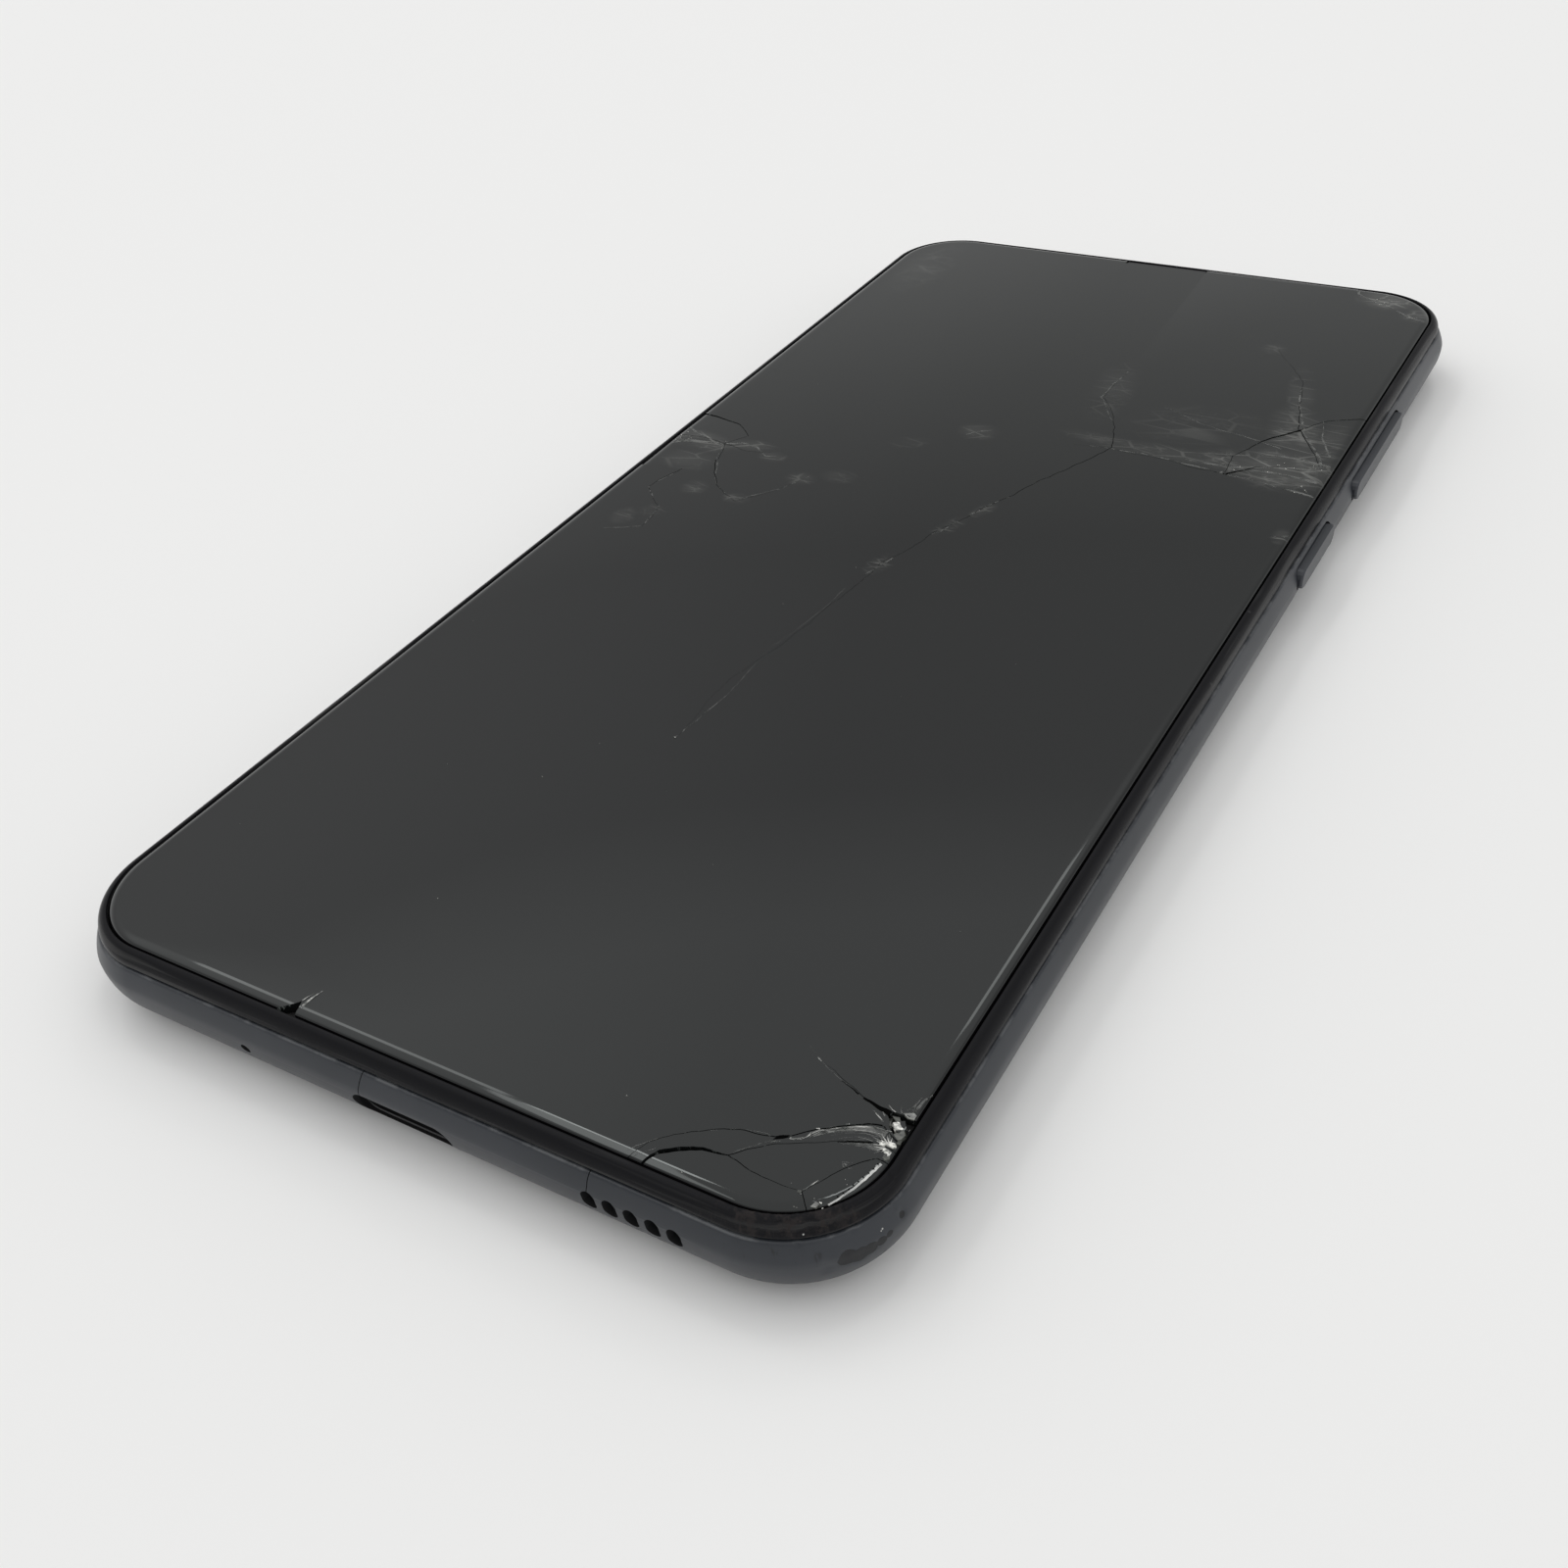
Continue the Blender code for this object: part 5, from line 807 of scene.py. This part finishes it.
def layBands(name, bands, material, lift=0.006):  # flat bands laid on the glass, each (line, widths)
    bm = bmesh.new()
    for i, (line, widths) in enumerate(bands):
        path = crooked(line, 0.04, i * 7 + 3, 0.3)
        sides = bandSides(path, widths)
        rows = [(dropped(*a, lift), dropped(*b, lift)) for a, b in zip(*sides)]
        for (a, b), (c, d) in zip(rows, rows[1:]):
            level = [p for p in (a, b, c, d) if p and p.z > resting["low"] * mm]
            if len(level) == 4:
                bm.faces.new([bm.verts.new(p) for p in (a, b, d, c)])
    bmesh.ops.remove_doubles(bm, verts=bm.verts, dist=1e-7)
    for face in bm.faces:
        face.normal_update()
        if face.normal.z < 0:
            face.normal_flip()
    return seated(shown(name, bm, [material]), "phone", "cover_glass")


def pointAlong(line, share):
    place = share * (len(line) - 1)
    low = int(min(place, len(line) - 2))
    return Vector(line[low]).lerp(Vector(line[low + 1]), place - low)


def strands(upper, lower, count, seed, widths):  # streaks that run between two guide lines
    dice = random.Random(seed)
    out = []
    for _ in range(count):
        share = dice.random()
        start, end = sorted((dice.uniform(0, 0.5), dice.uniform(0.35, 1)))
        run = []
        for i in range(6):
            along = start + (end - start) * i / 5
            a, b = pointAlong(upper, along), pointAlong(lower, along)
            run.append(tuple(a * (1 - share) + b * share))
        width = dice.uniform(*widths)
        out.append((run, (width * 0.3, width, width * 0.7, 0.01)))
    return out


def burst(centre, rays):  # short wedges that run out from a blow, each (bearing, length, width)
    out = []
    for bearing, length, width in rays:
        turn = math.radians(bearing)
        tip = (centre[0] + math.cos(turn) * length, centre[1] + math.sin(turn) * length)
        root = (centre[0] + math.cos(turn) * 0.12, centre[1] + math.sin(turn) * 0.12)
        out.append(([root, tip], (width, width * 0.7, 0.01)))
    return out


# guide lines of the fan of light that runs out from the blow
fanUpper = [(33.5, -68.15), (32.6, -68.4), (31.8, -68.85), (30.9, -69.4), (30.35, -69.85),
            (29.65, -70.35), (29.35, -70.8), (29.3, -71.25), (29.05, -71.6), (28.3, -71.85)]
fanMiddle = [(34.6, -68.75), (34.1, -68.45), (33.2, -68.5), (32.4, -68.8), (31.45, -69.2),
             (30.6, -69.8), (29.8, -70.4), (29.5, -70.8), (29.2, -71.4), (28.5, -71.8)]
fanLower = [(34.6, -69.1), (33.9, -68.95), (33.1, -69.0), (32.2, -69.15), (31.3, -69.65), (30.4, -70.3),
            (29.8, -70.95), (29.3, -71.5)]
smearLower = [(34.5, -70.1), (34.0, -70.35), (33.4, -70.45), (32.6, -70.8), (31.8, -71.0)]
blow = (34.6, -69.6)
edgeGlow = [(34.80, -69.9), (34.74, -70.4), (34.62, -71.2), (34.42, -72.1), (34.16, -73.0), (33.88, -73.8),
            (33.52, -74.6), (33.1, -75.3), (32.5, -75.95)]
# painted light along the cracks, and near-black bands of painted shade where they open over the black print,
# each (line, widths)
glints = [
    (fanUpper, (0.02, 0.03, 0.045, 0.05, 0.07, 0.04, 0.05, 0.04, 0.06, 0.03)),
    (fanMiddle, (0.05, 0.03, 0.02, 0.02, 0.03, 0.04, 0.05, 0.03, 0.05, 0.03)),
    ([(29.5, -70.4), (29.75, -70.3), (30.0, -70.1)], (0.04, 0.12, 0.03)),
    ([(28.15, -71.75), (28.45, -71.85), (28.7, -71.8)], (0.06, 0.18, 0.05)),
    ([(26.95, -65.05), (26.7, -64.93), (26.5, -64.8)], (0.03, 0.09, 0.02)),
    ([(27.9, -72.35), (27.6, -72.5), (27.3, -72.75)], (0.03, 0.06, 0.02)),
    ([(31.2, -75.1), (31.45, -74.6), (31.7, -74.0)], (0.07, 0.05, 0.02)),
    ([(33.9, -66.9), (33.3, -66.75), (32.9, -66.5)], (0.04, 0.03, 0.01)),
    ([(33.1, -67.85), (32.7, -67.65), (32.4, -67.5)], (0.03, 0.05, 0.01)),
    ([(-10.45, -77.75), (-10.25, -76.5), (-10.0, -75.2)], (0.24, 0.18, 0.03)),
    ([(-10.75, -76.8), (-10.6, -76.2), (-10.4, -75.7)], (0.10, 0.07, 0.01)),
]
glints += strands(fanUpper, fanLower, 6, 4, (0.012, 0.03))
glints += burst(blow, [
    (145, 1.25, 0.10), (160, 0.95, 0.16), (176, 1.1, 0.10), (193, 1.25, 0.13), (207, 1.0, 0.08),
    (222, 0.9, 0.12), (240, 0.7, 0.10), (128, 1.0, 0.09), (108, 0.8, 0.08),
])
edgeBands = [(edgeGlow, (0.10, 0.18, 0.18, 0.16, 0.14, 0.12, 0.10, 0.08, 0.03))]
# dim painted light caught in the cracks
dimCrackLights = [
    ([(32.9, -67.1), (31.8, -66.85), (29.8, -66.2), (28.4, -65.7), (26.9, -65.0)],
     (0.08, 0.05, 0.03, 0.02, 0.02)),
    ([(26.4, -64.7), (25.9, -64.4), (25.5, -64.1)], (0.02, 0.02, 0.03)),
    ([(33.2, -67.95), (32.7, -67.6), (32.2, -67.35)], (0.12, 0.10, 0.02)),
    ([(33.1, -67.45), (32.75, -67.15), (32.4, -66.9)], (0.10, 0.07, 0.01)),
    ([(34.0, -66.75), (33.8, -66.5), (33.7, -66.2)], (0.12, 0.08, 0.01)),
    ([(34.6, -66.3), (34.5, -65.9), (34.55, -65.5)], (0.16, 0.08, 0.01)),
    ([(33.9, -68.8), (32.9, -68.75), (31.6, -69.35), (30.5, -70.1), (29.6, -70.95)],
     (0.70, 0.45, 0.34, 0.26, 0.10)),
    ([(34.2, -69.95), (33.2, -70.15), (32.2, -70.5), (31.4, -70.75)], (0.50, 0.40, 0.22, 0.03)),
    ([(34.7, -66.15), (34.8, -65.1), (35.1, -64.0)], (0.20, 0.12, 0.02)),
    ([(34.2, -66.5), (34.5, -65.6), (34.6, -64.9)], (0.10, 0.06, 0.02)),
    ([(27.4, -72.5), (26.4, -73.6), (25.6, -74.6)], (0.03, 0.05, 0.02)),
    ([(32.35, -72.05), (33.0, -71.8), (33.15, -72.2), (32.75, -72.5), (32.35, -72.05)],
     (0.03, 0.05, 0.03, 0.05, 0.03)),
    ([(32.5, -72.1), (33.0, -72.2)], (0.12, 0.14)),
    ([(27.5, -72.2), (26.6, -72.25), (25.0, -72.65), (23.5, -73.5), (21.5, -74.85), (20.1, -76.2),
      (19.1, -77.6)], (0.02, 0.02, 0.02, 0.02, 0.02, 0.03, 0.05)),
    ([(20.8, -76.6), (19.8, -77.7)], (0.03, 0.06)),
    ([(-1.0, -10.0), (-2.5, -33.0), (-3.0, -37.5)], (0.03, 0.02, 0.08)),
]
dimCrackLights += strands(fanUpper, fanLower, 20, 9, (0.02, 0.06))
dimCrackLights += strands(fanLower, smearLower, 9, 12, (0.02, 0.06))
dimCrackLights += burst(blow, [
    (152, 1.8, 0.16), (168, 1.6, 0.20), (184, 2.4, 0.16), (200, 2.0, 0.14), (214, 1.5, 0.16),
    (232, 1.2, 0.14), (118, 1.2, 0.14), (266, 0.9, 0.16), (98, 1.0, 0.12),
])
# near-black bands where cracks have opened: painted shade over the black print below, each (line, widths)
shadeBands = [
    ([(27.40, -72.40), (27.72, -72.08), (28.25, -71.78)], (0.04, 0.30, 0.10)),
    ([(31.3, -70.75), (32.4, -70.2), (33.4, -69.75), (34.05, -69.5)], (0.03, 0.09, 0.10, 0.20)),
    ([(29.0, -66.0), (30.2, -66.35), (31.4, -66.75), (32.4, -66.98), (33.3, -67.12)],
     (0.02, 0.05, 0.11, 0.22, 0.45)),
    ([(33.6, -69.25), (34.1, -69.3)], (0.03, 0.12)),
    ([(33.75, -69.85), (34.15, -69.75)], (0.03, 0.10)),
    ([(34.05, -70.15), (34.4, -69.95)], (0.03, 0.12)),
]
# dark teeth along the inner side of the painted edge highlight, which make it serrated: painted shade
shadeBands += [([(x - 0.17, y + 0.06), (x - 0.03, y + 0.01)], (0.13, 0.02))
          for x, y in crooked(edgeGlow[1:7], 0.04, 2, 0.5)[1:]]
# pale painted light caught in the far cracks, each (line, widths)
farLines = [
    ([(35.0, 24.0), (31.0, 24.7), (27.0, 25.4), (22.0, 26.0), (15.0, 26.6), (9.0, 26.2)],
     (0.30, 0.40, 0.30, 0.20, 0.14, 0.05)),
    ([(34.4, 27.0), (30.0, 27.6), (25.6, 27.2), (20.0, 27.2)], (0.5, 0.36, 0.24, 0.04)),
    ([(34.6, 29.4), (31.0, 29.2), (27.8, 28.4), (25.4, 26.6)], (0.4, 0.28, 0.22, 0.08)),
    ([(34.6, 31.0), (31.0, 31.6), (27.4, 31.0), (22.0, 29.4)], (0.3, 0.22, 0.16, 0.03)),
    ([(33.6, 31.0), (31.4, 35.0), (29.4, 38.6), (27.6, 43.6), (26.4, 49.6)], (0.26, 0.20, 0.22, 0.20, 0.04)),
    ([(34.0, 33.0), (32.0, 37.0), (31.0, 41.0)], (0.22, 0.16, 0.03)),
    ([(28.8, 33.0), (24.0, 34.5), (19.0, 35.6), (14.0, 38.0)], (0.15, 0.12, 0.09, 0.02)),
    ([(-34.8, 10.6), (-33.0, 11.4), (-30.4, 12.0), (-28.6, 12.2)], (0.9, 0.6, 0.3, 0.18)),
    ([(-34.7, 14.4), (-32.6, 13.2), (-29.8, 12.5)], (0.3, 0.22, 0.08)),
    ([(-28.5, 12.2), (-26.6, 13.0), (-24.6, 12.8), (-22.6, 11.2), (-21.4, 11.6)],
     (0.24, 0.36, 0.18, 0.20, 0.04)),
    ([(-28.5, 12.0), (-27.4, 8.6), (-24.4, 3.6), (-20.6, 1.2), (-17.0, 5.4), (-15.6, 8.8)],
     (0.10, 0.07, 0.06, 0.14, 0.06, 0.12)),
    ([(-29.8, 5.3), (-31.0, 0.2), (-27.4, -3.2), (-26.8, -7.2), (-30.4, -9.2)],
     (0.07, 0.05, 0.14, 0.06, 0.12)),
    ([(6.7, 13.4), (4.5, 8.5), (3.0, 4.0), (2.2, 2.6)], (0.07, 0.12, 0.20, 0.04)),
    ([(1.0, -2.2), (0.2, -4.6), (-0.4, -7.0)], (0.07, 0.24, 0.06)),
    ([(-4.0, 24.0), (-3.0, 25.2), (-1.6, 26.0)], (0.06, 0.28, 0.05)),
    ([(6.9, 45.4), (6.4, 38.0), (10.6, 31.6)], (0.14, 0.08, 0.07)),
    ([(24.6, 78.0), (25.3, 76.1), (27.6, 74.4), (30.2, 73.2), (32.6, 71.0), (34.6, 70.4)],
     (0.4, 0.20, 0.30, 0.24, 0.28, 0.24)),
    ([(27.6, 74.6), (28.6, 76.4), (28.8, 77.2)], (0.24, 0.4, 0.24)),
    ([(34.9, 15.6), (34.2, 15.0), (33.4, 14.8)], (0.3, 0.18, 0.03)),
]
layBands("dimCrackLightBands", dimCrackLights, dimCrackLightLook, 0.006)
layBands("farCrackLight", farLines, dimCrackLightLook, 0.006)
layBands("edgeGlow", edgeBands, shineLook, 0.010)
layBands("crackGlints", glints, glintLook, 0.014)
layBands("paintedShadeSlivers", shadeBands, gapShadeLook, 0.018)
print("cracks drawn")


def brokenBits(name, heaps, material, seed):  # small angular bits in heaps of (x, y, spread, count, size)
    dice = random.Random(seed)
    bm = bmesh.new()
    for x, y, spread, count, size in heaps:
        for _ in range(count):
            rest = dropped(x + dice.gauss(0, spread), y + dice.gauss(0, spread), 0.0)
            corners = [Vector([dice.uniform(-1, 1) for _ in range(3)]).normalized() for _ in range(9)]
            shape = Vector((dice.uniform(0.5, 1.3), dice.uniform(0.5, 1.0), dice.uniform(0.25, 0.6)))
            shape = shape * size * dice.uniform(0.5, 1.1) * mm
            turn = Euler((dice.uniform(-0.5, 0.5), dice.uniform(-0.5, 0.5), dice.uniform(0, 6.28)))
            turn = turn.to_matrix()
            if rest is None or abs(rest.x) > resting["x"] * mm or abs(rest.y) > resting["y"] * mm:
                continue
            centre = rest + Vector((0, 0, shape.z * 0.5))
            centre.z = min(centre.z, resting["high"] * mm - shape.z)
            verts = [bm.verts.new(centre + turn @ Vector((c.x * shape.x, c.y * shape.y, c.z * shape.z)))
                     for c in corners]
            made = bmesh.ops.convex_hull(bm, input=verts)
            bmesh.ops.delete(bm, geom=list(set(made["geom_interior"] + made["geom_unused"])), context="VERTS")
    return seated(shown(name, bm, [material], 5), "phone", "cover_glass")


# flat angular fragments: outline, height of the underside, thickness, tilts in degrees
def looseFacets(name, facets, material):
    bm = bmesh.new()
    for outline, low, thick, aboutX, aboutY in facets:
        middle = Vector((sum(x for x, _ in outline) / len(outline),
                         sum(y for _, y in outline) / len(outline), low))
        turn = Euler((math.radians(aboutX), math.radians(aboutY), 0)).to_matrix()
        rings = []
        for share, height in ((0.92, 0), (1.0, thick * 0.45), (0.86, thick)):
            ring = [(Vector((x, y, low)) - middle) * share + Vector((0, 0, height)) for x, y in outline]
            rings.append([bm.verts.new((middle + turn @ v) * mm) for v in ring])
        made = [bm.faces.new(rings[0]), bm.faces.new(rings[-1])]
        for first, second in zip(rings, rings[1:]):
            for i in range(len(first)):
                j = (i + 1) % len(first)
                made.append(bm.faces.new((first[i], first[j], second[j], second[i])))
    bmesh.ops.recalc_face_normals(bm, faces=bm.faces)
    bmesh.ops.triangulate(bm, faces=[face for face in bm.faces if len(face.verts) > 4])
    return seated(shown(name, bm, [material], 5), "phone", "cover_glass")


looseFacets("paleChunks", [
    ([(33.7, -67.8), (33.95, -67.5), (34.55, -67.37), (34.77, -67.7), (34.6, -68.05), (34.15, -68.2)],
     7.85, 0.42, -6, 8),
    ([(33.75, -69.5), (34.1, -69.28), (34.35, -69.45), (34.2, -69.75), (33.9, -69.75)], 8.16, 0.17, 12, -14),
    ([(34.3, -69.25), (34.75, -69.15), (34.95, -69.4), (34.8, -69.7), (34.45, -69.65)], 8.12, 0.18, -8, 10),
    ([(34.15, -69.95), (34.4, -69.8), (34.8, -69.85), (34.75, -70.15), (34.4, -70.2)], 8.12, 0.16, 10, 12),
], crushLook)
looseFacets("greyFlakes", [
    ([(34.2, -68.3), (34.8, -67.75), (35.15, -68.15), (34.9, -68.65), (34.4, -68.75)], 7.80, 0.34, 14, -8),
    ([(33.0, -67.55), (33.6, -67.25), (33.75, -67.7), (33.95, -68.15), (33.45, -68.1)], 7.90, 0.28, -10, -12),
    ([(34.0, -66.72), (34.7, -66.3), (35.0, -66.45), (34.95, -66.85), (34.5, -66.95)], 8.14, 0.13, 6, 8),
    ([(34.5, -70.25), (34.85, -70.1), (34.95, -70.5), (34.7, -70.75), (34.5, -70.6)], 8.02, 0.20, -8, 14),
    ([(33.3, -66.95), (33.9, -66.8), (34.1, -67.1), (33.8, -67.25)], 7.72, 0.25, 12, 6),
    ([(34.7, -68.9), (35.0, -68.75), (35.05, -69.15), (34.8, -69.2)], 8.0, 0.22, -12, 10),
    ([(30.95, -75.3), (31.1, -75.22), (31.2, -75.35), (31.12, -75.5), (30.95, -75.48)], 8.22, 0.10, 8, 8),
    ([(32.0, -75.7), (32.3, -75.45), (32.75, -75.55), (32.6, -75.95), (32.2, -76.0)], 8.0, 0.2, 8, -8),
], facetLook)
# a near-black sheet in the opened crack at the end of the arc: painted shade over the black print below
looseFacets("shadeSliver", [
    ([(27.38, -72.45), (27.62, -72.3), (28.0, -72.05), (28.3, -71.75), (27.85, -71.8), (27.55, -72.0)],
     8.26, 0.05, 0, 0),
], gapShadeLook)
brokenBits("blowCrumbs", [
    (34.7, -68.5, 0.18, 6, 0.09), (34.8, -67.1, 0.15, 4, 0.07), (34.65, -69.6, 0.18, 9, 0.11),
    (34.2, -69.4, 0.3, 8, 0.06), (34.7, -70.4, 0.14, 6, 0.08), (32.65, -75.45, 0.08, 3, 0.08),
    (32.8, -75.7, 0.06, 2, 0.09), (32.2, -75.4, 0.05, 2, 0.07), (30.25, -75.0, 0.0, 1, 0.05),
    (31.05, -75.4, 0.12, 5, 0.08), (31.46, -76.4, 0.1, 2, 0.06), (23.4, -77.4, 0.03, 1, 0.07),
    (28.4, -71.85, 0.04, 2, 0.05), (33.4, -73.2, 0.4, 3, 0.04), (33.6, -66.9, 0.1, 2, 0.05),
], crushLook, 22)
brokenBits("farCrumbs", [
    (33.6, 24.6, 0.6, 10, 0.09), (30.4, 29.3, 0.9, 12, 0.09), (33.6, 30.6, 0.5, 9, 0.09),
    (29.4, 38.0, 0.4, 6, 0.07), (25.2, 26.4, 0.4, 6, 0.07), (-33.4, 11.8, 0.8, 10, 0.10),
    (-28.5, 12.2, 0.3, 6, 0.07), (28.6, 74.8, 0.8, 10, 0.10), (33.0, 71.2, 0.4, 6, 0.07),
], crushLook, 33)
brokenBits("dustSpecks", [
    (19.5, -15.5, 0, 1, 0.06), (-32.0, -29.5, 0, 1, 0.07), (-10.5, -47.0, 0, 1, 0.08),
    (-8.7, -63.3, 0, 1, 0.08), (30.0, -49.3, 0, 1, 0.05), (16.5, -73.6, 0, 1, 0.10),
    (-3.0, -37.6, 0.05, 2, 0.09), (0, 0, 22, 14, 0.03), (0, -50, 16, 10, 0.03),
], crushLook, 8)
print("crumbs laid")


# Floor, light and camera

stageLook = {"floor": (0.87, 0.87, 0.863), "background": (0.81, 0.81, 0.802), "reach": 5.0, "sky": 1.14}
# brightness of the sky by height
skyLevels = [(0.0, 0.55), (0.30, 0.46), (0.36, 0.43), (0.42, 0.39), (0.50, 0.36), (0.56, 0.43),
             (0.62, 0.50), (0.68, 0.75), (0.72, 0.80), (0.80, 0.85), (1.0, 0.85)]
softboxes = (  # direction, metres away, length, width, brightness, direction of the length
    ("leftPatch", (-0.455, 0.245, 0.855), 3.0, 0.38, 0.34, 5.5, (0.0, -1.0, 0.0)),
    ("leftStrip", (-0.46, -0.16, 0.875), 3.0, 1.9, 0.36, 2.0, (0.05, -1.0, 0.0)),
    ("leftFade", (-0.60, 0.28, 0.75), 3.0, 0.6, 0.5, 1.9, (-1.0, 0.0, 0.0)),
    ("rearPanel", (-0.12, 0.655, 0.745), 3.0, 0.5, 0.4, 2.0, (1.0, 0.0, 0.0)),
    ("overPanel", (-0.03, 0.36, 0.93), 3.0, 0.8, 0.25, 5.0, (0.0, 1.0, 0.0)),
)


def makeFloor():
    grid = bmesh.new()
    bmesh.ops.create_grid(grid, x_segments=1, y_segments=1, size=stageLook["reach"])
    f = Finish("paleFloor")
    tone = f.mixed(f.noise(3, 2, 0.5), stageLook["floor"], tuple(v * 0.985 for v in stageLook["floor"]))
    shown("floor", grid, [f.done(BaseColor=tone, Roughness=0.9, SpecularIORLevel=0.1)])


def makeSky():
    world = bpy.data.worlds.new("studio")
    bpy.context.scene.world = world
    world.use_nodes = True
    g = Graph(world.node_tree)
    way = g.add("ShaderNodeTexCoord")
    across = g.add("ShaderNodeSeparateXYZ", {}, {0: way}, 0)
    up = g.add("ShaderNodeSeparateXYZ", {}, {0: way}, 2)
    boost = 1 + (across * -1 - 0.42).top(0) * 1.3 + (across - 0.3).top(0)
    strength = g.levels(up, skyLevels) * boost * stageLook["sky"]
    light = g.add("ShaderNodeBackground", {}, {"Color": (1.0, 1.0, 1.0), "Strength": strength})
    seen = g.add("ShaderNodeBackground", {}, {"Color": stageLook["background"]})
    direct = g.add("ShaderNodeLightPath")
    sky = g.add("ShaderNodeMixShader", {}, {0: direct, 1: light, 2: seen})
    g.add("ShaderNodeOutputWorld", {}, {"Surface": sky})


def makeSoftbox(name, direction, distance, long, short, brightness, edge):
    lamp = bpy.data.lights.new(name, "AREA")
    lamp.shape = "RECTANGLE"
    lamp.size, lamp.size_y = long, short
    lamp.energy = brightness * math.pi * long * short
    box = bpy.data.objects.new(name, lamp)
    bpy.context.scene.collection.objects.link(box)
    back = Vector(direction).normalized()
    across = (Vector(edge) - back * Vector(edge).dot(back)).normalized()
    turn = Matrix((across, back.cross(across), back)).transposed()
    box.matrix_world = Matrix.Translation(back * distance) @ turn.to_4x4()


shot = {  # the camera, place in millimetres, focal length and frame in pixels
    "place": (70.186, -131.324, 94.386), "focal": 1708.98, "frame": 1600,
    "right": (0.86282, 0.49928, -0.07906), "up": (-0.25499, 0.56491, 0.78477),
    "back": (0.43648, -0.65696, 0.61473),
}


def makeCamera():
    eye = bpy.data.cameras.new("eye")
    eye.sensor_fit = "HORIZONTAL"
    eye.sensor_width = 36
    eye.lens = 36 * shot["focal"] / shot["frame"]
    eye.clip_start = 0.005
    camera = bpy.data.objects.new("eye", eye)
    bpy.context.scene.collection.objects.link(camera)
    turn = Matrix((shot["right"], shot["up"], shot["back"])).transposed()
    camera.matrix_world = Matrix.Translation(Vector(shot["place"]) * mm) @ turn.to_4x4()
    bpy.context.scene.camera = camera


makeFloor()
makeSky()
for softbox in softboxes:
    makeSoftbox(*softbox)
makeCamera()
bpy.context.scene.view_settings.view_transform = "Standard"
print("stage set")
